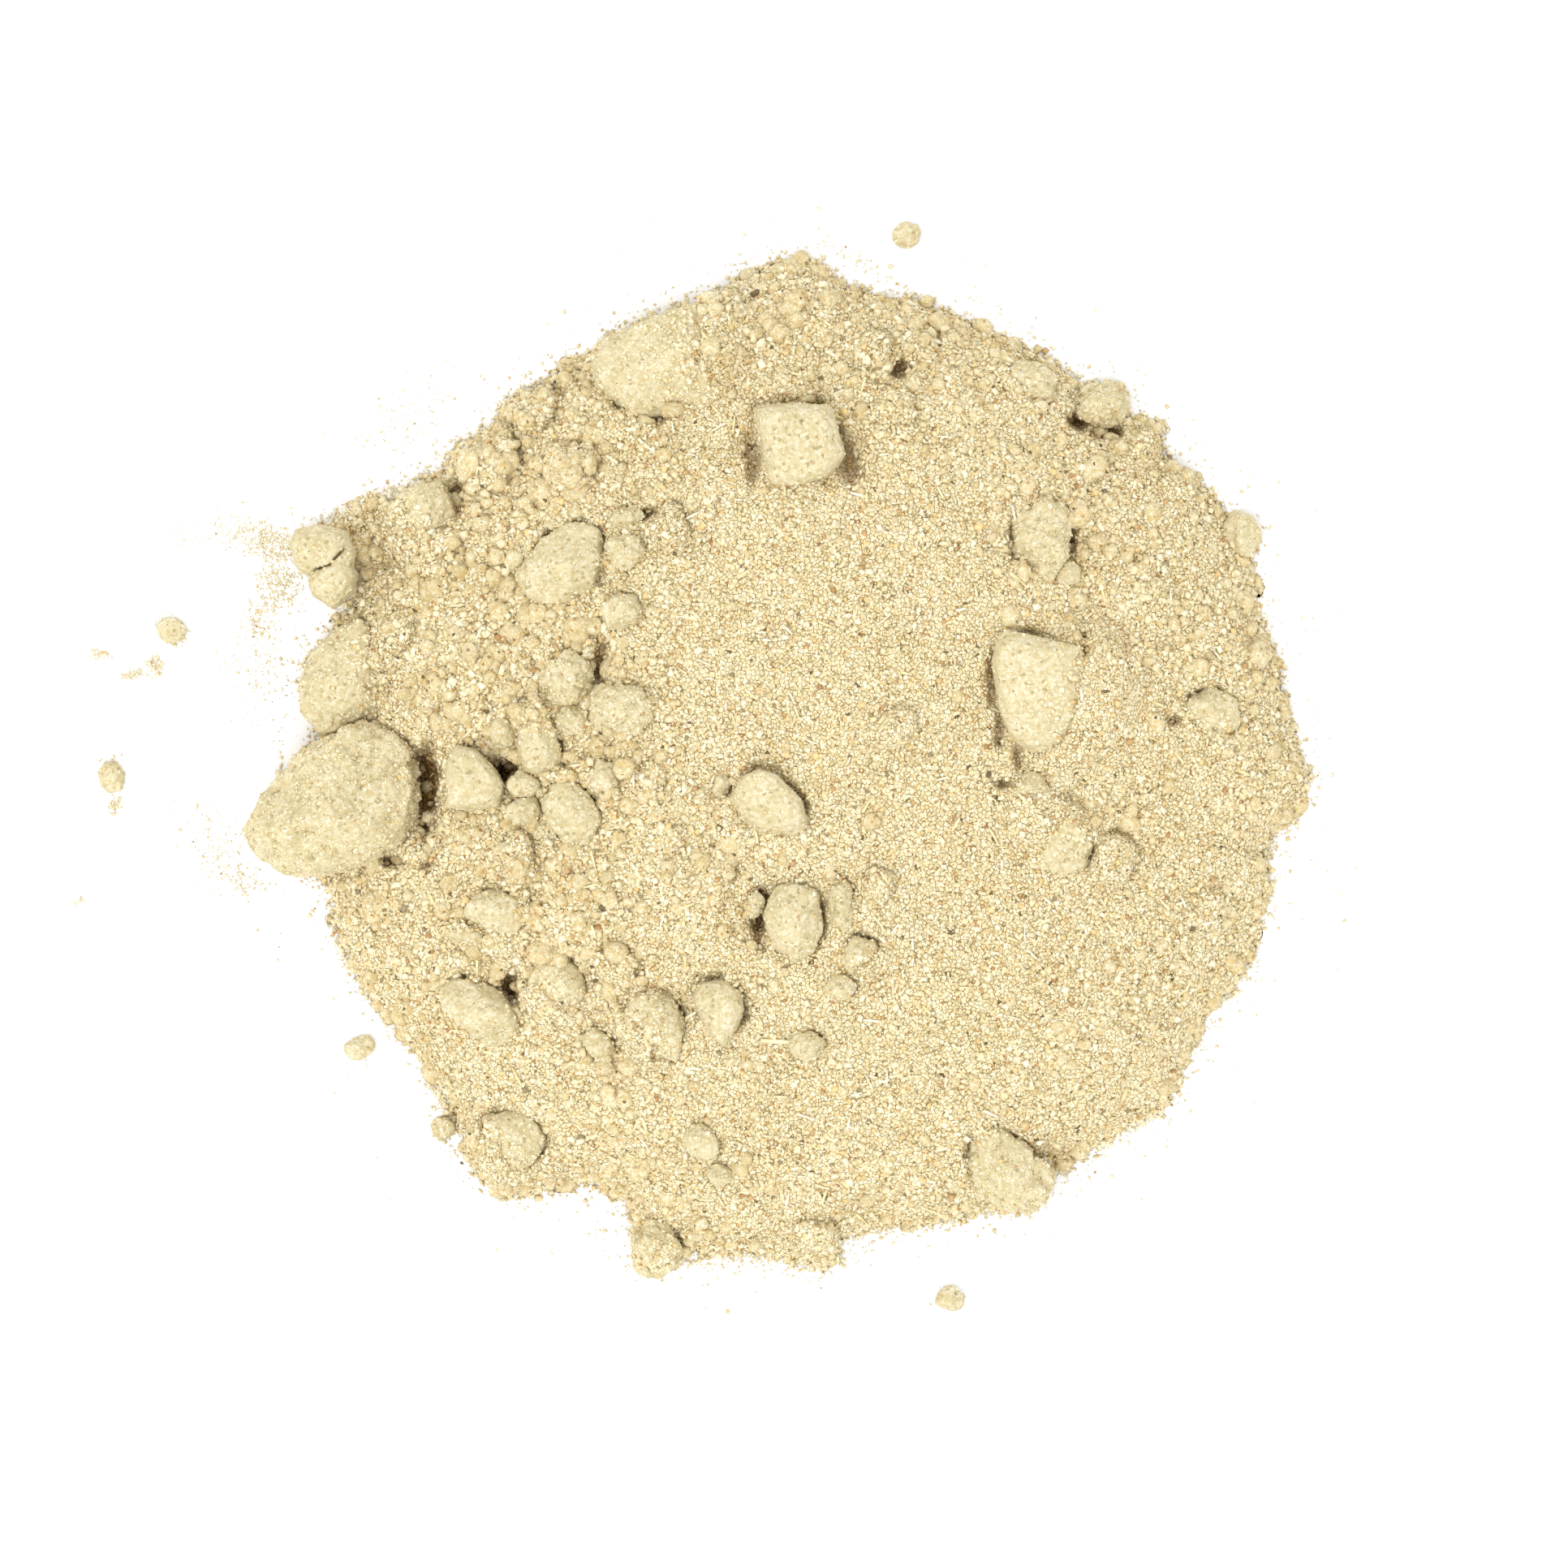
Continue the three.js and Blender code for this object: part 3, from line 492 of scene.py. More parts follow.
def mesh_object(name: str, vertices: Array, faces: Array, material: bpy.types.Material) -> bpy.types.Object:
    """Makes an object from arrays.

    Args:
        name: The piece's name.
        vertices: Places, shape (n, 3).
        faces: Corner numbers, shape (m, 3) or (m, 4).
        material: The finish of all its faces.

    Returns:
        The new object, linked and smooth shaded.
    """
    mesh = bpy.data.meshes.new(name)
    mesh.vertices.add(len(vertices))
    mesh.vertices.foreach_set("co", np.ascontiguousarray(vertices, np.float32).ravel())
    mesh.loops.add(faces.size)
    mesh.loops.foreach_set("vertex_index", np.ascontiguousarray(faces, np.int32).ravel())
    mesh.polygons.add(len(faces))
    starts = np.arange(len(faces), dtype=np.int32) * faces.shape[1]
    mesh.polygons.foreach_set("loop_start", starts)
    mesh.update(calc_edges=True)
    mesh.shade_smooth()
    mesh.materials.append(material)
    thing = bpy.data.objects.new(name, mesh)
    bpy.context.scene.collection.objects.link(thing)
    return thing


def tint_mesh(mesh: bpy.types.Mesh, colours: Array) -> None:
    """Gives each vertex of a mesh its own tint."""
    tint = mesh.color_attributes.new(TINT, "FLOAT_COLOR", "POINT")
    tint.data.foreach_set("color", colours.astype(np.float32).ravel())


def read_vectors(items: Any, name: str) -> Array:
    """Reads a vector of each item of a mesh.

    Args:
        items: Such as its vertices.
        name: Such as "co".

    Returns:
        The vectors, shape (n, 3).
    """
    values = np.zeros(len(items) * 3, np.float32)
    items.foreach_get(name, values)
    return values.reshape(-1, 3).astype(np.float64)


def move_corners(mesh: bpy.types.Mesh, places: Array) -> None:
    """Moves a mesh's vertices to new places, shape (n, 3)."""
    mesh.vertices.foreach_set("co", places.astype(np.float32).ravel())
    mesh.update()


def unit(vectors: Array) -> Array:
    """The vectors in each row, brought to length one."""
    return vectors / (np.linalg.norm(vectors, axis=1, keepdims=True) + TINY)


def middle_of(node: str) -> Vector:
    """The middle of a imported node's box."""
    low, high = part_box(node)
    return (low + high) / 2


def ease(t: Array) -> Array:
    """Eases from 0 to 1 as t goes from 0 to 1."""
    c = np.clip(t, 0, 1)
    return c * c * (3 - 2 * c)


def beside(values: Array) -> list[Array]:
    """The values of each cell's four neighbours in a map, with the edge's own outside it."""
    edge = np.pad(values, 1, mode="edge")
    return [edge[:-2, 1:-1], edge[2:, 1:-1], edge[1:-1, :-2], edge[1:-1, 2:]]


def grown(mask: Array, steps: int) -> Array:
    """Spreads a mask.

    Args:
        mask: The mask.
        steps: By how many cells each way.

    Returns:
        The wider mask.
    """
    for _ in range(steps):
        mask = np.logical_or.reduce([mask, *beside(mask)])
    return mask


def blurred(values: Array, steps: int) -> Array:
    """Averages the values of a map with their neighbours.

    Args:
        values: The values.
        steps: How many times.

    Returns:
        The softened values.
    """
    for _ in range(steps):
        values = sum(beside(values), 4 * values) / 8
    return values


# ---------------------------------------------------------------- caked lumps


@dataclass(frozen=True)
class Face:
    """What a kind of lump's skin is like.

    Attributes:
        swelling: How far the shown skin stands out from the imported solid.
        chips: How many flats are broken off.
        softening: How many times its mesh is smoothed.
        swell: Height of the broadest swellings, as a share of the lump's width.
        crumbs: Size and height of its packed crumbs, in millimetres.
        stuck: How many fine grains stick to it, beside a smooth lump.
    """

    swelling: float
    chips: int
    softening: int
    swell: float
    crumbs: tuple[Pair, ...]
    stuck: float


class Skin(Enum):
    """How a caked lump's surface looks."""

    SMOOTH = Face(0.4 * MM, 7, 4, 0.025, ((1.7, 0.26), (0.8, 0.2)), 1.0)
    ROUGH = Face(0.4 * MM, 5, 4, 0.03, ((2.3, 0.66), (1.2, 0.46), (0.6, 0.18)), 2.4)
    FACETED = Face(0.16 * MM, 0, 1, 0.012, ((1.2, 0.1), (0.6, 0.08)), 0.4)


# Lumps that broke along flat faces, and lumps with coarse grains stuck all over.
SKINS: dict[Skin, list[str]] = {
    Skin.FACETED: (
        "square_clod cluster_facet_lump right_wedge_clod cracked_clod centre_facet_lump pointed_lump "
        "low_left_flake"
    ).split(),
    Skin.ROUGH: (
        "largest_clod oval_rough_lump cluster_rough_lump twin_topped_lump leaf_shaped_clod "
        "cluster_upper_lump block_beside_round_clod crumb_above_block top_right_edge_lump "
        "bottom_edge_lump long_oval_crumb"
    ).split(),
}


def skin_of(node: str) -> Skin:
    """How a lump's surface looks."""
    return next((skin for skin, nodes in SKINS.items() if node in nodes), Skin.SMOOTH)


@dataclass(frozen=True)
class Bank:
    """Powder that has banked up over one side of a lump, so that it fades into the heap there.

    Attributes:
        way: Towards the buried side.
        start: Where the cover begins, from -1 on the open side to 1 on the buried side.
        width: Over how much of the lump it thickens.
        reach: How far from the lump the bank runs out, in millimetres.
        slope: How steeply it runs down.
    """

    way: Pair
    start: float = 0.05
    width: float = 0.55
    reach: float = 2.4
    slope: float = 0.95


BANKS: dict[str, Bank] = {
    "right_wedge_clod": Bank((1.0, -0.3), 0.16, 0.75, 6.0, 0.4),
    "upper_left_clod": Bank((0.9, 0.25), 0.12, 0.6, 4.0, 0.75),
    "smooth_edge_clod": Bank((1.0, 0.2), 0.4, 0.7, 4.0, 0.7),
    "right_round_lump": Bank((0.3, 0.95)),
    "right_half_buried_lump": Bank((0.3, -0.95), 0.6, 0.9, 3.5, 0.7),
    "right_small_lump": Bank((0.6, -0.8)),
    "half_buried_lump": Bank((-0.5, -0.85)),
    "half_round_lump": Bank((-0.6, -0.8)),
    "top_right_lump": Bank((-0.9, -0.4)),
    "upper_edge_lump": Bank((-0.9, -0.4), 0.2),
    "low_left_flake": Bank((-0.3, 0.95)),
    "twin_topped_lump": Bank((-0.8, -0.6), 0.2),
    "lower_middle_lump": Bank((0.8, -0.6)),
    "cluster_long_lump": Bank((-0.3, 0.95), 0.3),
    "bottom_edge_lump": Bank((0.4, -0.9), 0.3),
}


@dataclass
class CakedLump:
    """One caked lump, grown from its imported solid.

    Attributes:
        node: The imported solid.
        material: The lump's finish.
        skin: How its surface looks.
        bank: Powder that has banked up over it.
        coarsest: Edge of the even mesh of the largest lumps.
        finest: Edge of the even mesh of the smallest.
        facets: How many edges of the even mesh there are along a lump of middling size.
        chip_lift: Least and greatest lift of a broken flat, in degrees.
        chip_depth: Least and greatest depth of one, as a share of the lump's width.
        chip_flatness: How flat they are.
        fine_relief: Size and height of the finest swellings, in millimetres.
    """

    node: str
    material: bpy.types.Material
    skin: Skin
    bank: Bank | None
    coarsest: float = 0.21 * MM
    finest: float = 0.12 * MM
    facets: int = 55
    chip_lift: Pair = (26, 64)
    chip_depth: Pair = (0.04, 0.13)
    chip_flatness: float = 0.94
    fine_relief: Pair = (0.4, 0.035)
    shown: bpy.types.Object | None = field(default=None, init=False)

    @property
    def box(self) -> tuple[Vector, Vector]:
        """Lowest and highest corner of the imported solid."""
        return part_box(self.node)

    @property
    def size(self) -> float:
        """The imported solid's diagonal."""
        low, high = self.box
        return (high - low).length

    def relief(self, seed: int) -> Relief:
        """The unevenness of the lump's skin, to suit its size and kind."""
        width, face = self.size / MM, self.skin.value
        return Relief(((0.4 * width, face.swell * width), self.fine_relief), face.crumbs, seed)

    def chipped(self, places: Array, seed: int) -> Array:
        """Breaks flats off the lump, tilted every way.

        Args:
            places: Its vertices, shape (n, 3).
            seed: Which of many.

        Returns:
            The vertices of the chipped lump.
        """
        draw = np.random.default_rng(seed)
        low, high = self.box
        half = np.array((high - low) / 2)
        out = places.copy()
        chips = self.skin.value.chips
        for k in range(chips):
            bearing = 2 * math.pi * (k + draw.uniform(-0.3, 0.3)) / chips
            lift = math.radians(draw.uniform(*self.chip_lift))
            level = math.cos(lift)
            way = np.array([level * math.cos(bearing), level * math.sin(bearing), math.sin(lift)]) / half
            way /= np.linalg.norm(way)
            reach = out @ way
            width = reach.max() - reach.min()
            flat = reach.max() - draw.uniform(*self.chip_depth) * width
            out -= self.chip_flatness * np.maximum(reach - flat, 0)[:, None] * way
        return out

    def build(self, seed: int) -> bpy.types.Object:
        """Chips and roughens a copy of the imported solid.

        Args:
            seed: Which of many noises.

        Returns:
            The shown lump.
        """
        draft = bpy.data.objects.new(f"{self.node}_skin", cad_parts[self.node].data.copy())
        bpy.context.scene.collection.objects.link(draft)
        remesh = draft.modifiers.new("even", "REMESH")
        remesh.mode = "VOXEL"
        remesh.voxel_size = min(max(self.size / self.facets, self.finest), self.coarsest)
        soften = draft.modifiers.new("soften", "SMOOTH")
        soften.factor = 0.5
        soften.iterations = self.skin.value.softening
        ready = draft.evaluated_get(bpy.context.evaluated_depsgraph_get())
        mesh = bpy.data.meshes.new_from_object(ready)
        draft.modifiers.clear()
        draft.data = mesh
        out = self.skin.value.swelling * read_vectors(mesh.vertex_normals, "vector")
        places = self.chipped(read_vectors(mesh.vertices, "co") + out, seed)
        move_corners(mesh, places)
        relief = self.relief(seed)
        rough = relief.swellings(places) + relief.crumbling(places)
        places += read_vectors(mesh.vertex_normals, "vector") * rough[:, None]
        places[:, 2] = np.maximum(places[:, 2], 0.0)
        move_corners(mesh, places)
        mesh.shade_smooth()
        mesh.materials.clear()
        mesh.materials.append(self.material)
        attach(draft, ROOT)
        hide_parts(self.node)
        self.shown = draft
        return draft


# ---------------------------------------------------------------- the powder's surface


@dataclass(frozen=True)
class Patch:
    """An oval patch on the heap or beside it.

    Attributes:
        offset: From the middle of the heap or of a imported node, in millimetres.
        radii: Half length and half width, in millimetres.
        turn: Bearing of its length, in degrees.
    """

    offset: Pair
    radii: Pair
    turn: float

    def shift(self, x: Array, y: Array, middle: Vector) -> tuple[Array, Array]:
        """How far each place is from the patch's middle, along X and along Y."""
        return x - middle.x - self.offset[0] * MM, y - middle.y - self.offset[1] * MM

    def shares(self, dx: Array, dy: Array) -> tuple[Array, Array]:
        """Turns distances from the patch's middle into shares of its half length and half width.

        Args:
            dx: Distances along X.
            dy: Distances along Y.

        Returns:
            Shares along and across the patch.
        """
        cos, sin = math.cos(math.radians(self.turn)), math.sin(math.radians(self.turn))
        along = (dx * cos + dy * sin) / (self.radii[0] * MM)
        return along, (dy * cos - dx * sin) / (self.radii[1] * MM)


@dataclass(frozen=True)
class Mound(Patch):
    """A lump wholly under the powder, seen only as a rounded rise of some millimetres."""

    height: float


@dataclass(frozen=True)
class Film(Patch):
    """A thin ragged film of powder on the table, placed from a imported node.

    Attributes:
        anchor: The node.
        solid: Share of it that is covered, from 0 to 1.
    """

    anchor: str
    solid: float


MOUNDS = (
    Mound((-32.4, 29.8), (3.7, 3.2), 20, 1.5), Mound((-27.4, 34.6), (3.0, 2.4), 30, 1.2),
    Mound((-23.6, 29.2), (2.8, 2.3), -20, 1.2), Mound((-24.4, 38.0), (1.6, 1.4), 0, 1.0),
    Mound((-13.6, 22.4), (2.4, 2.6), 0, 1.1), Mound((-28.4, -9.8), (3.0, 1.8), 80, 1.4),
    Mound((-28.6, -14.4), (1.8, 1.5), 40, 1.0), Mound((7.9, 2.7), (2.7, 1.6), 20, 0.9),
    Mound((6.6, 40.4), (2.0, 1.7), 30, 1.1), Mound((8.4, 35.0), (1.9, 1.7), 0, 0.9),
    Mound((11.2, 41.0), (1.7, 1.3), -30, 1.0), Mound((20.6, -2.6), (1.8, 1.3), 30, 0.9),
    Mound((29.8, -9.8), (2.2, 2.6), 0, 1.2), Mound((23.2, -5.8), (3.6, 2.6), -30, 1.3),
    Mound((-18.6, -20.2), (2.4, 1.9), 10, 1.0), Mound((-14.2, -7.4), (1.7, 1.4), 0, 0.8),
    Mound((0.6, -47.2), (2.6, 2.0), 10, 1.1), Mound((-37.4, 21.6), (3.0, 1.5), -10, 0.9),
    Mound((-40.8, 12.4), (2.6, 1.8), 50, 0.8), Mound((36.8, 27.4), (2.0, 1.6), 0, 0.8),
    Mound((28.6, 33.4), (2.0, 1.6), -30, 1.0), Mound((33.4, 31.0), (2.2, 1.5), -20, 0.9),
    Mound((-33.8, -20.6), (2.0, 1.3), -40, 0.8), Mound((6.8, -12.4), (1.9, 1.5), 60, 0.9),
    Mound((-8.6, -12.0), (1.3, 2.9), -10, 1.0), Mound((39.6, -14.6), (2.4, 1.6), 20, 0.7),
    Mound((-21.8, 9.6), (2.2, 1.6), 60, 0.9), Mound((-15.4, -1.6), (1.6, 1.2), 20, 0.9),
    Mound((-24.6, -1.2), (1.5, 1.3), 20, 0.9),
)

FILMS = (
    Film((4.4, 4.4), (5.0, 2.2), 22, "cracked_clod", 0.75),
    Film((5.4, 1.0), (3.2, 2.4), 10, "cracked_clod", 0.6),
)

# Deep gaps beside lumps: offset from the heap's middle, half widths along X and Y, and depth.
# The depth also sets how strongly painted shade darkens the powder in each gap.
GAPS = (
    (-37.5, -2.9, 1.2, 4.6, 5.0), (-29.6, -0.9, 1.4, 1.2, 4.0), (-20.5, 9.2, 0.9, 2.2, 3.4),
    (-17.6, 4.6, 1.0, 1.0, 2.4), (4.3, 29.3, 1.1, 1.9, 2.2), (-5.3, 29.8, 0.8, 2.6, 1.7),
    (-8.2, -2.7, 1.0, 1.0, 2.0), (-4.6, -14.7, 0.8, 2.2, 3.4), (-29.1, -22.3, 1.1, 1.3, 3.6),
    (-13.0, -25.5, 0.8, 1.4, 2.6), (26.6, 33.7, 1.0, 0.9, 3.4), (29.8, 32.5, 1.6, 0.8, 3.4),
    (8.9, 38.5, 0.8, 0.8, 2.6), (-16.0, 24.3, 1.5, 0.6, 1.7), (-34.6, 26.1, 0.7, 1.6, 2.6),
    (39.0, 6.3, 1.4, 0.6, 2.0), (36.2, 4.1, 0.8, 0.6, 1.6), (16.2, -38.7, 0.6, 1.6, 1.5),
    (23.6, -38.6, 1.4, 0.9, 1.0), (19.3, -2.3, 1.0, 0.5, 1.8), (-18.0, 35.3, 1.3, 0.6, 2.2),
    (-15.2, 33.8, 1.6, 0.6, 2.4), (-40.8, -9.9, 1.3, 0.6, 3.0), (18.1, 7.6, 0.45, 2.6, 1.4),
    (18.8, 3.4, 0.45, 2.0, 1.6), (20.6, 0.2, 0.6, 1.3, 1.5), (20.3, 21.4, 0.5, 2.2, 1.8),
    (26.0, 21.6, 0.5, 2.0, 1.8), (24.9, 18.4, 0.7, 0.5, 1.4),
)

# Where the powder is at its coarsest: offset from the heap's middle, reach, and how much more.
COARSE_PATCHES = (
    (-28.0, 0.0, 11.0, 0.5), (-20.0, 9.0, 8.0, 0.4), (-30.0, 28.0, 12.0, 0.35),
    (10.0, 40.0, 10.0, 0.35), (32.0, 32.0, 9.0, 0.45), (-24.0, -20.0, 9.0, 0.35),
    (40.0, 10.0, 9.0, 0.3), (30.0, -6.0, 7.0, 0.25), (24.0, 20.0, 6.0, 0.25),
    (12.0, -16.0, 16.0, -0.2), (4.0, 12.0, 12.0, -0.15),
)

# How much of the crevice beside a lump is dug at each distance from it, in cells.
CREVICE_PROFILE = ((5, 0.1), (4, 0.25), (3, 0.6), (2, 0.95), (1, 1.0))


@dataclass
class PowderBed:
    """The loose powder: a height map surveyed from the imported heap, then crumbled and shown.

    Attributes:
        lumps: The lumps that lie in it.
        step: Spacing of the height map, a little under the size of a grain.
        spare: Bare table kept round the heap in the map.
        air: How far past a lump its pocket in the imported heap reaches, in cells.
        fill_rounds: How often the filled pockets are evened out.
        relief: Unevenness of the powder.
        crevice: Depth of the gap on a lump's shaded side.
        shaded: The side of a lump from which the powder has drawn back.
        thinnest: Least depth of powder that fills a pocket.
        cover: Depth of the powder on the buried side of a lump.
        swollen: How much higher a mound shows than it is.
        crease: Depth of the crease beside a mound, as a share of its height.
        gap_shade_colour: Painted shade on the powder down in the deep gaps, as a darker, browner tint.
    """

    lumps: list[CakedLump]
    step: float = 0.25 * MM
    spare: float = 2.4 * MM
    air: int = 4
    fill_rounds: int = 1500
    relief: Relief = Relief(
        ((9.0, 0.42), (3.6, 0.28), (1.7, 0.14), (0.8, 0.08)), ((2.7, 0.66), (1.3, 0.48), (0.75, 0.33)), 3
    )
    crevice: float = 2.3 * MM
    shaded: Pair = (0.66, 0.75)
    thinnest: float = 0.35 * MM
    cover: float = 0.5 * MM
    swollen: float = 1.3
    crease: float = 0.9
    # Painted shade for the powder down in the deep gaps.
    gap_shade_colour: str = "#a88c5c"

    def __post_init__(self) -> None:
        """Sets up the map's cells and its empty layers."""
        low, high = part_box(HEAP_NODE)
        self.middle, self.half = (low + high) / 2, (high - low) / 2
        self.xs = np.arange(low.x - self.spare, high.x + self.spare, self.step)
        self.ys = np.arange(low.y - self.spare, high.y + self.spare, self.step)
        self.x, self.y = np.meshgrid(self.xs, self.ys)
        self.spots = np.stack([self.x.ravel(), self.y.ravel(), np.zeros(self.x.size)], axis=1)
        self.lump_top = np.full(self.x.shape, np.nan)
        self.owner = np.full(self.x.shape, -1)
        self.sprinkled, self.gap_shading = np.zeros((2, *self.x.shape))
        self.ragged = 0.26 * self.noise(2.6, 81) + 0.18 * self.noise(0.9, 82)
        self.patchy = 0.62 + 1.1 * self.noise(1.5, 5)

    def noise(self, wavelength: float, seed: int) -> Array:
        """Smooth noise in every cell, with swellings of a size in millimetres."""
        return smooth_noise(self.spots, wavelength * MM, seed).reshape(self.x.shape)

    def build(self) -> bpy.types.Object:
        """Surveys, crumbles and meshes the powder.

        Returns:
            The shown surface of the powder.
        """
        self.survey()
        self.fill_pockets()
        for film in FILMS:
            self.spread_film(film)
        for mound in MOUNDS:
            self.raise_mound(mound)
        self.open_gaps()
        for number, lump in enumerate(self.lumps):
            self.settle_round(lump, self.owner == number)
        self.crumble()
        return self.skin()

    def cast(self, node: str, part: tuple[slice, slice]) -> Array:
        """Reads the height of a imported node's surface in some cells.

        Args:
            node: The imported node.
            part: Rows and columns of the map.

        Returns:
            Its height in each cell, or not a number where there is none.
        """
        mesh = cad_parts[node].data
        tree = BVHTree.FromPolygons([v.co for v in mesh.vertices], [p.vertices for p in mesh.polygons])
        ceiling = CAD_BOX[1].z + MM
        heights = np.full(self.x[part].size, np.nan)
        for k, place in enumerate(zip(self.x[part].flat, self.y[part].flat, strict=True)):
            hit = tree.ray_cast(Vector((*place, ceiling)), DOWN)[0]
            if hit is not None:
                heights[k] = hit.z
        return heights.reshape(self.x[part].shape)

    def window(self, lump: CakedLump, spare: float) -> tuple[slice, slice]:
        """The rows and columns of the map round a lump.

        Args:
            lump: The lump.
            spare: Room kept round it.

        Returns:
            Rows and columns.
        """
        part = []
        for axis, cells in ((1, self.ys), (0, self.xs)):
            ends = np.array([lump.box[0][axis] - spare, lump.box[1][axis] + spare]) - cells[0]
            first, last = np.clip(ends / self.step, 0, len(cells) - 1).astype(int)
            part.append(slice(first, last + 1))
        return tuple(part)

    def survey(self) -> None:
        """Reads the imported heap's surface and the lumps' tops into the map."""
        self.packed = self.cast(HEAP_NODE, (slice(None), slice(None)))
        for number, lump in enumerate(self.lumps):
            part = self.window(lump, self.step)
            top = self.cast(lump.node, part)
            highest = np.fmax(top, self.lump_top[part])
            self.owner[part] = np.where(highest == top, number, self.owner[part])
            self.lump_top[part] = highest
        self.under = ~np.isnan(self.lump_top)

    def fill_pockets(self) -> None:
        """Bridges the lumps' pockets, so that powder lies right up to and below each lump."""
        pocket = grown(self.under, self.air)
        level = np.where(np.isnan(self.packed) | pocket, 0.0, self.packed)
        level[pocket] = blurred(level, 12)[pocket]
        for _ in range(self.fill_rounds):
            level[pocket] = (sum(beside(level)) / 4)[pocket]
        self.level = level
        self.powder = np.where(pocket, level > self.thinnest, ~np.isnan(self.packed))

    def facing(self, dx: Array, dy: Array) -> Array:
        """How far each place round a middle lies on its shaded side, from -1 to 1."""
        return (dx * self.shaded[0] + dy * self.shaded[1]) / (np.hypot(dx, dy) + 1e-6)

    def settle_round(self, lump: CakedLump, footprint: Array) -> None:
        """Lets the powder draw back from a lump's shaded side and bank up on its buried side.

        Args:
            lump: The lump.
            footprint: True in the cells where it is the topmost lump.
        """
        bank = lump.bank
        part = self.window(lump, (bank.reach + 0.5 if bank else 2.3) * MM)
        inside = footprint[part]
        low, high = lump.box
        middle = (low + high) / 2
        dx = (self.x[part] - middle.x) / max((high.x - low.x) / 2, self.step)
        dy = (self.y[part] - middle.y) / max((high.y - low.y) / 2, self.step)
        level = self.level[part]
        cover = np.zeros(level.shape)
        if bank:
            along = dx * bank.way[0] + dy * bank.way[1] + self.ragged[part]
            others = self.under[part] & ~inside
            talus, near = self.talus(np.where(inside, self.lump_top[part], np.nan), lump)
            cover = ease((along - bank.start) / bank.width) * ~grown(others, 5) * near
            sprinkled = ease((along - bank.start + 0.75) / 1.1) * inside
            self.sprinkled[part] = np.maximum(self.sprinkled[part], sprinkled)
            level = level * (1 - cover) + np.maximum(talus, level) * cover
        drawn = np.clip(0.34 + 0.72 * self.facing(dx, dy), 0, 1) * self.patchy[part] * (1 - cover)
        depth = self.crevice * min(1.0, lump.size / (9 * MM)) * np.clip(drawn, 0, 1)
        gap = np.zeros(level.shape)
        for cells, share in CREVICE_PROFILE:
            gap = np.where(grown(inside, cells), share, gap)
        gap = np.where(~grown(~inside, 2), 0.5, gap)
        self.level[part] = np.where(self.powder[part], level - depth * gap, level)

    def talus(self, top: Array, lump: CakedLump) -> tuple[Array, Array]:
        """Powder that lies on a lump and runs down from it.

        Args:
            top: Height of the lump's top in each cell, or not a number where there is none.
            lump: The lump.

        Returns:
            The height of that powder in each cell, and how near the lump the cell is: 1 on the
            lump, down to 0 at the bank's reach.
        """
        covered = ~np.isnan(top)
        heap = np.where(covered, top + lump.skin.value.swelling + self.cover, 0.0)
        rounds = int(lump.bank.reach * MM / self.step)
        near = covered.astype(float)
        for k in range(rounds):
            heap = np.maximum(heap, np.maximum.reduce(beside(heap)) - lump.bank.slope * self.step)
            wider = grown(covered, 1)
            near[wider & ~covered] = 1 - (k + 1) / rounds
            covered = wider
        return heap, ease(near * 1.6)

    def spread_film(self, film: Film) -> None:
        """Spreads a film of powder on the bare table.

        Args:
            film: The film.
        """
        along, across = film.shares(*film.shift(self.x, self.y, middle_of(film.anchor)))
        patchy = self.noise(1.5, 61) + 0.8 * self.noise(0.6, 62)
        strength = film.solid * (1.6 - 1.3 * np.hypot(along, across)) + 0.5 * patchy
        bare = ~self.powder & (strength > 0.3)
        self.level = np.where(bare, np.clip(0.5 * strength, 0.15, 0.5) * MM, self.level)
        self.powder |= bare

    def raise_mound(self, mound: Mound) -> None:
        """Heaps the powder over a buried lump, with a crease on the shaded side.

        Args:
            mound: The rise.
        """
        dx, dy = mound.shift(self.x, self.y, self.middle)
        along, across = mound.shares(dx, dy)
        near = (np.hypot(along, across) < 1.8) & self.powder
        uneven = 1 + 0.34 * smooth_noise(self.spots[near.ravel()], 0.8 * MM * mound.radii[1], 21)
        far = np.hypot(along[near], across[near]) * uneven
        rise = np.sqrt(np.clip(1 - far**2, 0, 1)) * self.swollen * mound.height
        shade = np.clip(0.35 + 0.75 * self.facing(dx[near], dy[near]), 0, 1)
        crease = np.exp(-(((far - 1.12) / 0.14) ** 2)) * shade
        self.level[near] += (rise - self.crease * mound.height * crease) * MM

    def open_gaps(self) -> None:
        """Digs the deep gaps, each with a ragged outline."""
        ragged = 1 + 0.35 * self.noise(1.3, 71)
        for x, y, half_x, half_y, depth in GAPS:
            u = (self.x - self.middle.x - x * MM) / (half_x * MM)
            v = (self.y - self.middle.y - y * MM) / (half_y * MM)
            dip = np.exp(-((np.hypot(u, v) * ragged) ** 4))
            self.level -= np.where(self.powder, np.minimum(depth * MM, 0.85 * self.level) * dip, 0)
            # Painted shade: the deeper a gap, the darker and browner its powder is coloured.
            self.gap_shading = np.maximum(self.gap_shading, min(depth / 4, 1) * dip)

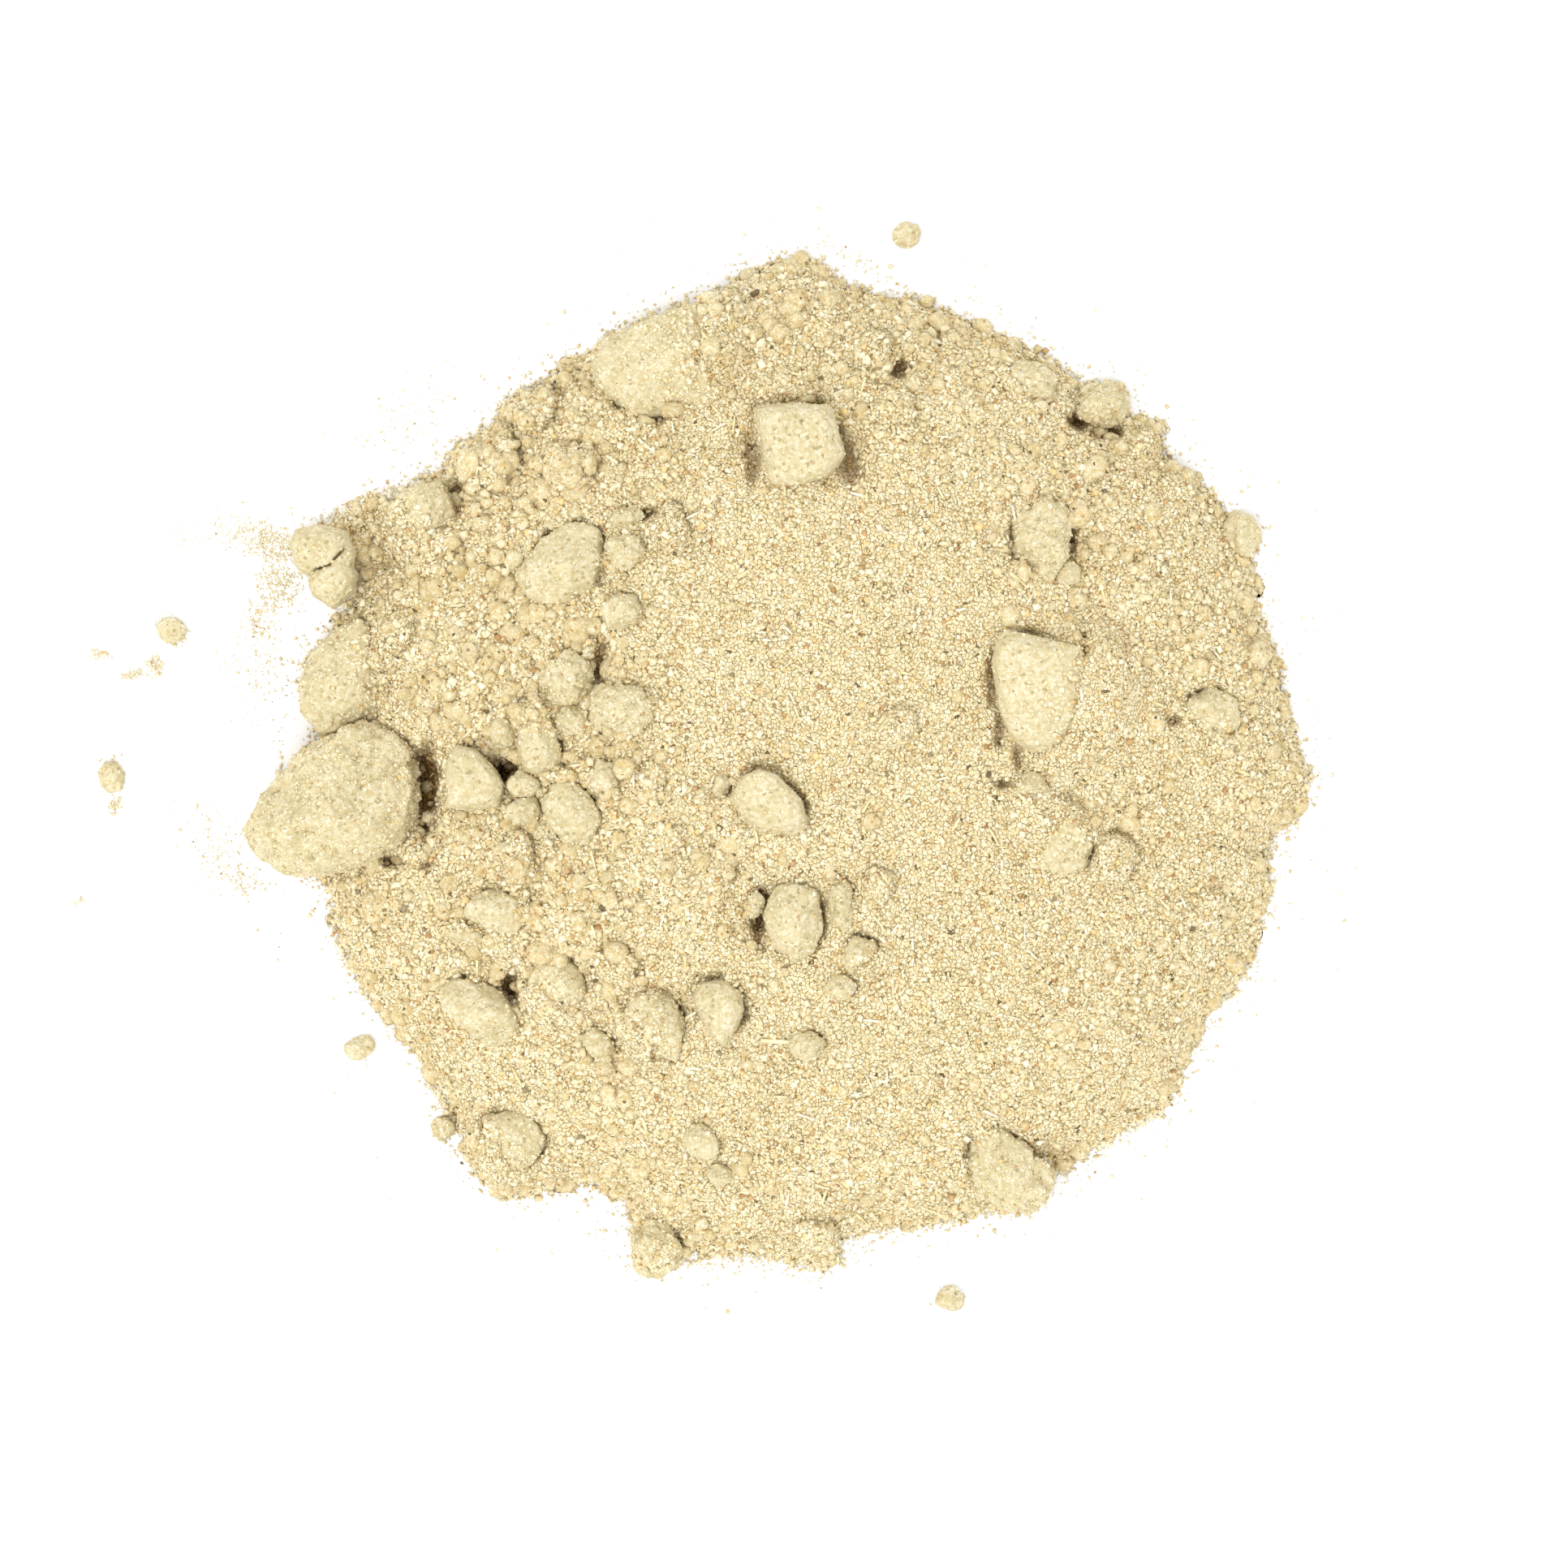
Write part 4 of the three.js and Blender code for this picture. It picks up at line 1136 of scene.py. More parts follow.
    def coarseness(self) -> Array:
        """How coarse and crumbly the powder is, from 0 to 1: most near the edge and the clusters.

        Returns:
            A number for each cell.
        """
        patchy = self.noise(11.0, 31) + 0.6 * self.noise(4.5, 32)
        u, v = (self.x - self.middle.x) / self.half.x, (self.y - self.middle.y) / self.half.y
        outer = ease((np.hypot(u, v) - 0.35) / 0.6)
        coarse = 0.26 + 0.3 * outer - 0.12 * u + 0.1 * v * outer + 0.3 * patchy
        for x, y, reach, more in COARSE_PATCHES:
            far = np.hypot(self.x - self.middle.x - x * MM, self.y - self.middle.y - y * MM) / (reach * MM)
            coarse = coarse + more * np.exp(-(far**2))
        return np.clip(coarse, 0.12, 1.0)

    def crumble(self) -> None:
        """Roughens the powder, and frays its edge."""
        shape = self.x.shape
        fray = 1.2 + 2.0 * (self.noise(2.8, 11) + 0.9 * self.noise(1.1, 12))
        bare = ~self.powder
        for cells in range(1, 5):
            self.powder &= ~(grown(bare, cells) & (fray > cells))
        self.powder = grown(~grown(~self.powder, 1), 1) & self.powder
        self.inward = np.zeros(shape)
        mask = self.powder
        for _ in range(6):
            mask = ~grown(~mask, 1)
            self.inward += mask
        self.coarse = self.coarseness()
        rough = self.relief.swellings(self.spots).reshape(shape)
        rough += self.relief.crumbling(self.spots).reshape(shape) * self.coarse
        self.level = blurred(self.level, 1) + rough * ease((self.inward + 1) / 6)
        self.level = np.where(self.powder, np.maximum(self.level, 0.12 * MM), 0.0)
        self.level *= np.where(self.inward >= 1, 1.0, 0.55)
        slope_y, slope_x = np.gradient(self.level, self.step)
        ways = np.stack([-slope_x, -slope_y, np.ones(shape)], axis=2)
        self.ways = ways / np.linalg.norm(ways, axis=2, keepdims=True)

    def skin(self) -> bpy.types.Object:
        """Meshes the map, closed underneath by one flat face.

        Returns:
            The shown surface of the powder.
        """
        solid = self.powder
        quads = solid[:-1, :-1] & solid[1:, :-1] & solid[:-1, 1:] & solid[1:, 1:]
        count = np.zeros(self.x.shape, int)
        for dj, di in product((0, 1), repeat=2):
            count[dj : dj + quads.shape[0], di : di + quads.shape[1]] += quads
        used = count > 0
        number = np.full(self.x.shape, -1)
        number[used] = np.arange(used.sum())
        height = np.where(count == 4, self.level, 0.0)
        vertices = np.stack([self.x[used], self.y[used], height[used]], axis=1)
        j, i = np.nonzero(quads)
        corners = [number[j, i], number[j, i + 1], number[j + 1, i + 1], number[j + 1, i]]
        heap = mesh_object("powder_surface", vertices, np.stack(corners, axis=1), LooseGinger().material())
        # The tint is painted shade: powder in the deep gaps is coloured darker and browner.
        tint_mesh(heap.data, self.painted_gap_shade(self.gap_shading[used]))
        self.close_underside(heap, len(j))
        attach(heap, ROOT)
        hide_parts(HEAP_NODE)
        return heap

    def painted_gap_shade(self, gap_shading: Array) -> Array:
        """Tints of painted shade for powder that lies more or less deep in the gaps."""
        return 1 + gap_shading[:, None] * (np.array(linear(self.gap_shade_colour)) - 1)

    def close_underside(self, heap: bpy.types.Object, top_faces: int) -> None:
        """Closes the powder with a flat face on the table, and maps it for baking.

        Args:
            heap: The powder's open surface.
            top_faces: How many faces it has.
        """
        mesh = heap.data
        shell = bmesh.new()
        shell.from_mesh(mesh)
        bmesh.ops.holes_fill(shell, edges=[edge for edge in shell.edges if edge.is_boundary], sides=0)
        shell.faces.ensure_lookup_table()
        for face in shell.faces[top_faces:]:
            face.smooth = False
        shell.to_mesh(mesh)
        shell.free()
        places = read_vectors(mesh.vertices, "co")[:, :2]
        low = places.min(axis=0)
        flat = (places - low) / (places.max(axis=0) - low).max()
        corner = np.zeros(len(mesh.loops), np.int32)
        mesh.loops.foreach_get("vertex_index", corner)
        spread = 0.005 + 0.99 * flat[corner]
        tucked = np.array([0.005, 0.9]) + 0.095 * flat[corner]
        below = np.zeros(len(mesh.loops), bool)
        for polygon in mesh.polygons[top_faces:]:
            below[polygon.loop_start : polygon.loop_start + polygon.loop_total] = True
        chart = mesh.uv_layers.new(name=BAKE_MAP)
        chart.data.foreach_set("uv", np.where(below[:, None], tucked, spread).ravel())

    def rim(self) -> tuple[Array, Array, Array]:
        """Places along the very edge of the powder, and the way out from each.

        Returns:
            X and Y of the places, and outward directions on the table.
        """
        edge = self.powder & grown(~self.powder, 1)
        slope_y, slope_x = np.gradient(blurred(self.powder.astype(float), 10))
        return self.x[edge], self.y[edge], unit(-np.stack([slope_x[edge], slope_y[edge]], axis=1))

    def at(self, x: Array, y: Array) -> tuple[Array, Array, Array]:
        """Reads the map between its cells.

        Args:
            x: Places along X.
            y: Places along Y.

        Returns:
            Heights, directions that the surface faces, and whether there is powder.
        """
        u = np.clip((x - self.xs[0]) / self.step, 0, len(self.xs) - 1.001)
        v = np.clip((y - self.ys[0]) / self.step, 0, len(self.ys) - 1.001)
        i, j = u.astype(int), v.astype(int)
        fu, fv = u - i, v - j
        near = self.level[j, i] * (1 - fu) * (1 - fv) + self.level[j, i + 1] * fu * (1 - fv)
        height = near + self.level[j + 1, i] * (1 - fu) * fv + self.level[j + 1, i + 1] * fu * fv
        there = self.powder[j, i]
        return height, np.where(there[:, None], self.ways[j, i], UP), there

    def nearest(self, values: Array, x: Array, y: Array) -> Array:
        """Reads a map in the cells nearest some places.

        Args:
            values: The map.
            x: Places along X.
            y: Places along Y.

        Returns:
            Its values there.
        """
        i = np.clip(((x - self.xs[0]) / self.step).round().astype(int), 0, len(self.xs) - 1)
        j = np.clip(((y - self.ys[0]) / self.step).round().astype(int), 0, len(self.ys) - 1)
        return values[j, i]

    def hidden(self, x: Array, y: Array) -> Array:
        """True where a lump lies well over the powder."""
        over = np.nan_to_num(self.nearest(self.lump_top, x, y), nan=0.0)
        return over > self.nearest(self.level, x, y) + 0.35 * MM


# ---------------------------------------------------------------- grains


def chipped_solid(draw: Draw, blocky: bool) -> Shape:
    """A grain's shape, about one unit across: a battered octahedron or block.

    Args:
        draw: Source of random numbers.
        blocky: True for a block with eight corners, False for six.

    Returns:
        Corners and triangles.
    """
    if blocky:
        corners = np.array(list(product((-1, 1), repeat=3)), float) * 0.42
        sides = ((0, 1, 3, 2), (4, 6, 7, 5), (0, 4, 5, 1), (2, 3, 7, 6), (0, 2, 6, 4), (1, 5, 7, 3))
        triangles = [t for a, b, c, d in sides for t in ((a, b, c), (a, c, d))]
    else:
        corners = np.array([(1, 0, 0), (-1, 0, 0), (0, 1, 0), (0, -1, 0), (0, 0, 1), (0, 0, -1)]) * 0.6
        triangles = [(0, 2, 4), (2, 1, 4), (1, 3, 4), (3, 0, 4), (2, 0, 5), (1, 2, 5), (3, 1, 5), (0, 3, 5)]
    return corners + draw.normal(0, 0.1, corners.shape), np.array(triangles)


def sliver(draw: Draw) -> Shape:
    """A fibre's shape, one unit long on X: a flat splinter with uneven ends.

    Args:
        draw: Source of random numbers.

    Returns:
        Corners and triangles.
    """
    corners, triangles = chipped_solid(draw, True)
    corners /= 0.84
    corners[:, 1] *= np.where(corners[:, 0] > 0, 0.55, 0.85)
    return corners, triangles


def crumb_shape(draw: Draw, fineness: int) -> Shape:
    """A crumb's shape, about one unit across: a small knobbly cluster of grains.

    Args:
        draw: Source of random numbers.
        fineness: How many times a ball of twenty faces is divided.

    Returns:
        Corners and triangles.
    """
    ball = bmesh.new()
    bmesh.ops.create_icosphere(ball, subdivisions=fineness, radius=0.5)
    ball.verts.index_update()
    corners = np.array([v.co[:] for v in ball.verts])
    triangles = np.array([[v.index for v in f.verts] for f in ball.faces])
    ball.free()
    seed = int(draw.integers(1, 900))
    knobs = 0.34 * smooth_noise(corners, 0.6, seed) + 0.4 * (packed_crumbs(corners, 0.34, seed) - 0.6)
    return corners * (1 + knobs[:, None]), triangles


@dataclass
class Grains:
    """A batch of grains: where each lies, which way it is turned, its size and its colour."""

    places: Array
    ups: Array
    sizes: Array
    colours: Array

    def subset(self, pick: Array) -> "Grains":
        """The grains that a mask picks."""
        return Grains(self.places[pick], self.ups[pick], self.sizes[pick], self.colours[pick])


def turned_frames(ups: Array, tilt: float, draw: Draw, along: float | None = None) -> Array:
    """Axes for things that lie on a surface, each turned its own way.

    Args:
        ups: The directions that the surface faces, shape (n, 3).
        tilt: How far they stray from lying flat.
        draw: Source of random numbers.
        along: Bearing of their length in radians, if they all lie the same way.

    Returns:
        Columns of length, width and thickness axes, shape (n, 3, 3).
    """
    up = unit(ups + tilt * draw.normal(0, 1, ups.shape))
    bearing = draw.uniform(0, 2 * math.pi, len(ups)) if along is None else np.full(len(ups), along)
    way = np.stack([np.cos(bearing), np.sin(bearing), np.zeros(len(ups))], axis=1)
    length = unit(way - up * (way * up).sum(axis=1, keepdims=True))
    return np.stack([length, np.cross(up, length), up], axis=2)


def grain_colours(count: int, draw: Draw, darker: float = 1.0) -> Array:
    """Colours for a batch of grains, drawn from those of ground ginger.

    Args:
        count: How many.
        draw: Source of random numbers.
        darker: Weight of the rarer tan, grey and brown grains.

    Returns:
        Linear RGBA, shape (count, 4).
    """
    shares = np.array([share for _, share in GRAIN_COLOURS])
    shares[COMMON_GRAINS:] *= darker
    palette = np.array([linear(colour) for colour, _ in GRAIN_COLOURS])
    colours = palette[draw.choice(len(palette), count, p=shares / shares.sum())]
    colours[:, :3] *= draw.normal(1.0, 0.05, (count, 1)).clip(0.8, 1.15)
    return colours.clip(0, 1)


def grain_sizes(count: int, middle: float, draw: Draw, spread: float = 0.35) -> Array:
    """Lengths, widths and thicknesses of a batch of grains.

    Args:
        count: How many.
        middle: The middling length.
        draw: Source of random numbers.
        spread: Spread of the sizes, as the natural log.

    Returns:
        Sizes, shape (count, 3).
    """
    length = middle * np.exp(draw.normal(0, spread, count)).clip(0.45, 2.2)
    width = length * draw.uniform(0.55, 0.95, count)
    return np.stack([length, width, length * draw.uniform(0.35, 0.8, count)], axis=1)


class RimLaw(Enum):
    """How crumbs are spread across the powder's edge: the name of the draw."""

    NORMAL = "normal"
    EVEN = "uniform"


@dataclass(frozen=True)
class CrumbBatch:
    """Crumbs of one range of sizes, on the powder and at its edge.

    Attributes:
        name: The piece's name.
        fineness: How many times their shapes are divided.
        on_powder: How many lie on the powder.
        on_rim: How many lie at its edge.
        law: How those are spread across the edge.
        away: The law's two numbers, outwards from the edge, in millimetres.
        inward: How far from the edge the others begin, in cells.
        coarse: How coarse the powder is where they lie, at least.
        favour: How much they favour the coarsest powder.
        middle: Their middling width, in millimetres.
        spread: Spread of the widths, as the natural log.
        limits: Least and greatest width, as shares of the middling one.
        rim_share: Size of those at the edge beside the others.
        narrowest: Least length, width or thickness, as a share of the width.
        sunk: How far they stand up from the surface, least and most, as shares of the width.
        tilt: How far they stray from lying flat.
    """

    name: str
    fineness: int
    on_powder: int
    on_rim: int
    law: RimLaw
    away: Pair
    inward: int
    coarse: float
    favour: int
    middle: float
    spread: float
    limits: Pair
    rim_share: float
    narrowest: float
    sunk: Pair
    tilt: float


CRUMB_BATCHES = (
    CrumbBatch(
        "large_crumbs", 3, 230, 110, RimLaw.EVEN, (-1.1, 0.1), 6, 0.6, 3,
        1.9, 0.26, (0.7, 1.6), 0.8, 0.65, (-0.16, 0.14), 0.3,
    ),
    CrumbBatch(
        "small_crumbs", 2, 2600, 520, RimLaw.NORMAL, (-0.25, 0.3), 3, 0.0, 2,
        0.8, 0.42, (0.5, 2.9), 1.0, 0.7, (-0.36, 0.08), 0.5,
    ),
)


@dataclass(frozen=True)
class DustDrift:
    """A drift of fine dust on the table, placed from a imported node.

    Attributes:
        anchor: The node.
        offset: From the middle of its box to the middle of the drift, in millimetres.
        spread: Half length and half width, in millimetres.
        turn: Bearing of its length, in degrees.
        count: How many grains it has.
        grain: Middling grain, in millimetres.
    """

    anchor: str
    offset: Pair
    spread: Pair
    turn: float
    count: int
    grain: float = 0.16

    def grains(self, draw: Draw) -> Grains:
        """Draws the drift's grains.

        Args:
            draw: Source of random numbers.

        Returns:
            The batch.
        """
        middle = middle_of(self.anchor)
        along, across = draw.normal(0, 0.55, (2, self.count)).clip(-1.2, 1.2) * MM
        cos, sin = math.cos(math.radians(self.turn)), math.sin(math.radians(self.turn))
        along, across = along * self.spread[0], across * self.spread[1]
        x = middle.x + self.offset[0] * MM + along * cos - across * sin
        y = middle.y + self.offset[1] * MM + along * sin + across * cos
        sizes = grain_sizes(self.count, self.grain * MM, draw, 0.45)
        places = np.stack([x, y, 0.3 * sizes[:, 2]], axis=1)
        return Grains(places, np.tile(UP, (self.count, 1)), sizes, grain_colours(self.count, draw, 0.35))


DRIFTS = (
    DustDrift("loose_crumb_upper_left", (0.0, 0.0), (1.5, 1.0), 140, 260),
    DustDrift("loose_crumb_upper_left", (-1.7, -3.6), (1.0, 0.9), 60, 150),
    DustDrift("loose_crumb_upper_left", (-4.1, -4.4), (1.0, 0.5), 20, 90),
    DustDrift("loose_crumb_upper_left", (-7.0, -2.4), (1.1, 0.5), -10, 90),
    DustDrift("loose_crumb_far_left", (0.0, 0.2), (1.5, 1.1), 100, 260),
    DustDrift("loose_crumb_far_left", (0.3, -2.8), (0.8, 0.6), 60, 90),
    DustDrift("loose_crumb_far_left", (-3.4, -12.3), (0.6, 0.4), 0, 30),
    DustDrift("cracked_clod", (-5.2, 2.4), (3.0, 1.6), 160, 700, 0.13),
    DustDrift("cracked_clod", (-4.6, -1.6), (2.6, 2.0), 100, 600, 0.13),
    DustDrift("cracked_clod", (-6.4, -5.6), (2.6, 1.6), 100, 260, 0.12),
    DustDrift("cracked_clod", (3.8, 5.2), (5.0, 1.5), 25, 1500, 0.17),
    DustDrift("cracked_clod", (5.8, 2.4), (3.6, 1.7), 10, 1700, 0.2),
    DustDrift("cracked_clod", (-9.0, 3.6), (5.0, 2.2), 10, 420, 0.11),
    DustDrift("smooth_edge_clod", (-8.6, 1.0), (3.6, 5.0), 0, 420, 0.12),
    DustDrift("largest_clod", (-12.4, -4.4), (3.4, 4.6), 30, 360, 0.13),
    DustDrift("largest_clod", (-9.2, -7.8), (2.6, 1.4), 150, 200, 0.13),
    DustDrift("upper_edge_lump", (-2.0, 9.0), (7.0, 3.0), 40, 240, 0.13),
    DustDrift("loose_crumb_low_left", (0.0, 0.0), (1.3, 1.0), 0, 50, 0.14),
    DustDrift("loose_crumb_bottom", (0.0, 0.0), (1.6, 1.0), 0, 60, 0.14),
    DustDrift("loose_crumb_foot", (0.0, 0.8), (1.2, 3.2), 20, 80, 0.18),
    DustDrift("loose_crumb_top", (-5.0, -2.4), (6.0, 1.0), 150, 140, 0.14),
    DustDrift("bottom_edge_lump", (6.0, -1.6), (9.0, 0.9), 0, 180, 0.18),
    DustDrift("leaf_shaped_clod", (8.0, 1.4), (3.0, 2.0), 40, 90, 0.18),
)

# Groups of red-brown specks in the powder: node, offset and reach in millimetres, and how many.
SPECK_GROUPS = (
    ("right_half_buried_lump", (-6.2, 15.0), 2.6, 16),
    ("right_half_buried_lump", (-4.4, -23.6), 2.0, 14),
    ("right_half_buried_lump", (-2.0, -1.2), 3.0, 8),
    ("top_right_lump", (8.2, -9.0), 3.0, 7),
    ("centre_facet_chip", (3.8, -9.4), 2.2, 6),
)


@dataclass
class GrainField:
    """All the loose grains, crumbs, fibres, specks and dust on, round and beside the heap.

    Attributes:
        bed: The powder that they lie on.
        draw: Source of random numbers.
        pitch: Spacing of the grains on the powder.
        grain: Their middling length.
        on_lumps: Grains that stick to each square millimetre of a smooth lump.
        on_banks: How many more there are where powder has banked up.
    """

    bed: PowderBed
    draw: Draw
    pitch: float = 0.34 * MM
    grain: float = 0.37 * MM
    on_lumps: float = 2.2
    on_banks: float = 4.0

    def __post_init__(self) -> None:
        """Makes the finishes and shapes that the batches share, and finds the powder's rim."""
        self.material = SingleGrain().material()
        # The crumbs carry fainter painted shade in the pits between their grains.
        crumb = LooseGinger("ground_ginger_crumb", grain=0.3 * MM, gap="#c8b88c", depth=0.5)
        self.crumb_material = crumb.material()
        self.shapes = [chipped_solid(self.draw, blocky=k % 2 == 0) for k in range(12)]
        self.crumbs = {
            fineness: [crumb_shape(self.draw, fineness) for _ in range(count)]
            for fineness, count in ((2, 6), (3, 8))
        }
        self.slivers = [sliver(self.draw) for _ in range(4)]
        self.rim = self.bed.rim()

    def scatter(
        self,
        name: str,
        grains: Grains,
        shapes: list[Shape] | None = None,
        material: bpy.types.Material | None = None,
        tilt: float = 0.6,
        along: float | None = None,
    ) -> bpy.types.Object:
        """Joins a batch of grains into one piece, with a small patch of the bake map for each.

        Args:
            name: The piece's name.
            grains: The batch.
            shapes: The shapes that they are drawn from, if not those of plain grains.
            material: Their finish, if not that of plain grains.
            tilt: How far they stray from lying flat.
            along: Bearing of their length, if they all lie the same way.

        Returns:
            The new piece.
        """
        axes = turned_frames(grains.ups, tilt, self.draw, along)
        total = len(grains.places)
        shapes = shapes or self.shapes
        kinds = self.draw.integers(0, len(shapes), total)
        cells = math.ceil(math.sqrt(total))
        vertices, faces, tints, charts = [], [], [], []
        start = 0
        for kind, (corners, triangles) in enumerate(shapes):
            chosen = np.nonzero(kinds == kind)[0]
            n, k = len(chosen), len(corners)
            scaled = corners[None] * grains.sizes[chosen][:, None]
            spread = np.einsum("nij,nkj->nki", axes[chosen], scaled) + grains.places[chosen][:, None]
            spread[..., 2] = np.maximum(spread[..., 2], 0.0)
            vertices.append(spread.reshape(-1, 3))
            firsts = start + k * np.arange(n)
            faces.append((firsts[:, None, None] + triangles[None]).reshape(-1, 3))
            tints.append(np.repeat(grains.colours[chosen], k, axis=0))
            turn = 2 * math.pi * np.arange(k) / k
            ring = np.stack([np.cos(turn), np.sin(turn)], axis=1) * 0.36
            cell = np.stack([chosen % cells, chosen // cells], axis=1) + 0.5
            charts.append(((cell[:, None] + ring[None]) / cells).reshape(-1, 2))
            start += n * k
        used = np.concatenate(faces)
        piece = mesh_object(name, np.concatenate(vertices), used, material or self.material)
        tint_mesh(piece.data, np.concatenate(tints))
        chart = piece.data.uv_layers.new(name=BAKE_MAP)
        chart.data.foreach_set("uv", np.concatenate(charts)[used.ravel()].ravel())
        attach(piece, ROOT)
        return piece

    def pick(self, colours: tuple[str, ...], count: int) -> Array:
        """Draws some colours as linear RGBA, each as likely as the others."""
        return np.array([linear(colour) for colour in colours])[self.draw.integers(0, len(colours), count)]

    def beyond(self, chosen: Array, away: Array, side: Array | float = 0.0) -> tuple[Array, Array]:
        """Places outwards and sideways from the powder's rim.

        Args:
            chosen: Numbers of places on the rim.
            away: How far outwards from each.
            side: How far sideways.

        Returns:
            X and Y of the places.
        """
        x, y, out = self.rim
        px = x[chosen] + out[chosen, 0] * away - out[chosen, 1] * side
        return px, y[chosen] + out[chosen, 1] * away + out[chosen, 0] * side

    def anywhere(self, inward: int, count: int) -> tuple[Array, Array]:
        """Draws places on the powder.

        Args:
            inward: How many cells in from its edge they begin.
            count: How many.

        Returns:
            X and Y of the places.
        """
        j, i = np.nonzero(self.bed.inward >= inward)
        picked = self.draw.integers(0, len(j), count)
        return self.bed.xs[i[picked]], self.bed.ys[j[picked]]

    def powder_grains(self) -> list[bpy.types.Object]:
        """Grains over the whole of the powder, as three pieces from left to right.

        Returns:
            The pieces.
        """
        bed = self.bed
        xs = np.arange(bed.xs[0], bed.xs[-1], self.pitch)
        ys = np.arange(bed.ys[0], bed.ys[-1], self.pitch)
        x, y = (a.ravel() + self.draw.uniform(-0.5, 0.5, a.size) * self.pitch for a in np.meshgrid(xs, ys))
        keep = bed.at(x, y)[2] & ~bed.hidden(x, y)
        x, y = x[keep], y[keep]
        height, ways, _ = bed.at(x, y)
        coarse = bed.nearest(bed.coarse, x, y)
        sizes = grain_sizes(len(x), self.grain, self.draw) * (0.8 + 0.4 * coarse)[:, None]
        proud = self.draw.normal(0.0, 0.28, len(x)).clip(-0.6, 0.6) * sizes[:, 2]
        places = np.stack([x, y, height], axis=1) + ways * proud[:, None]
        # Grains down in the deep gaps carry the same painted shade in their colours.
        colours = grain_colours(len(x), self.draw) * bed.painted_gap_shade(bed.nearest(bed.gap_shading, x, y))
        grains = Grains(places, ways, sizes, colours)
        bounds = np.quantile(x, [0, 1 / 3, 2 / 3, 1])
        return [
            self.scatter(f"powder_grains_{name}", grains.subset((x >= left) & (x < right)), tilt=0.4)
            for name, left, right in zip(("left", "middle", "right"), bounds[:-1], bounds[1:], strict=True)
        ]

    def stuck_to(self, lump: CakedLump) -> Shape:
        """Draws grains on the upper side of a lump, with more of them under a bank of powder.

        Args:
            lump: The lump.

        Returns:
            Their places, and the directions that the lump faces there.
        """
        mesh = lump.shown.data
        mesh.calc_loop_triangles()
        tri = np.zeros(len(mesh.loop_triangles) * 3, np.int32)
        mesh.loop_triangles.foreach_get("vertices", tri)
        a, b, c = read_vectors(mesh.vertices, "co")[tri.reshape(-1, 3)].transpose(1, 0, 2)
        cross = np.cross(b - a, c - a)
        area = np.linalg.norm(cross, axis=1) / 2
        way = cross / (2 * area[:, None] + 1e-18)
        area = np.where(way[:, 2] > -0.1, area, 0)
        more = self.on_banks if lump.bank else 1.0
        count = int(self.on_lumps * more * lump.skin.value.stuck * area.sum() / MM**2)
        chosen = self.draw.choice(len(area), count, p=area / area.sum())
        u, v = self.draw.uniform(0, 1, (2, count))
        flip = u + v > 1
        u, v = np.where(flip, 1 - u, u), np.where(flip, 1 - v, v)
        spot = a[chosen] + u[:, None] * (b - a)[chosen] + v[:, None] * (c - a)[chosen]
        buried = self.bed.nearest(self.bed.sprinkled, spot[:, 0], spot[:, 1]) if lump.bank else 1.0
        there = self.draw.random(count) < 1 / more + (1 - 1 / more) * buried
        return spot[there], way[chosen][there]

    def lump_grains(self) -> bpy.types.Object:
        """Fine grains that stick to the lumps.

        Returns:
            The piece.
        """
        place, way = (np.concatenate(a) for a in zip(*map(self.stuck_to, self.bed.lumps), strict=True))
        height, _, there = self.bed.at(place[:, 0], place[:, 1])
        keep = ~there | (place[:, 2] > height)
        place, way = place[keep], way[keep]
        buried = self.bed.nearest(self.bed.sprinkled, place[:, 0], place[:, 1])
        sizes = grain_sizes(len(place), 0.24 * MM, self.draw) * (1 + 0.6 * buried)[:, None]
        grains = Grains(place, way, sizes, grain_colours(len(place), self.draw, 0.8))
        return self.scatter("grains_on_lumps", grains)

    def rim_grains(self, count: int = 9000) -> bpy.types.Object:
        """Grains that have rolled off the edge of the powder, thinning out with distance.

        Args:
            count: How many.

        Returns:
            The piece.
        """
        chosen = self.draw.integers(0, len(self.rim[0]), count)
        away = self.draw.exponential(0.55 * MM, count) - 0.35 * MM
        far = self.draw.random(count) < 0.06
        away = np.where(far, self.draw.exponential(2.6 * MM, count), away).clip(None, 9 * MM)
        px, py = self.beyond(chosen, away, self.draw.normal(0, 0.35 * MM, count))
        height, up, there = self.bed.at(px, py)
        sizes = grain_sizes(count, 0.34 * MM, self.draw, 0.4)
        sizes *= np.where(away > 0.8 * MM, 0.6, 1.0)[:, None]
        z = np.where(there, height, 0.0) + 0.32 * sizes[:, 2]
        grains = Grains(np.stack([px, py, z], axis=1), up, sizes, grain_colours(count, self.draw, 0.8))
        return self.scatter("grains_at_the_edge", grains, tilt=0.35)

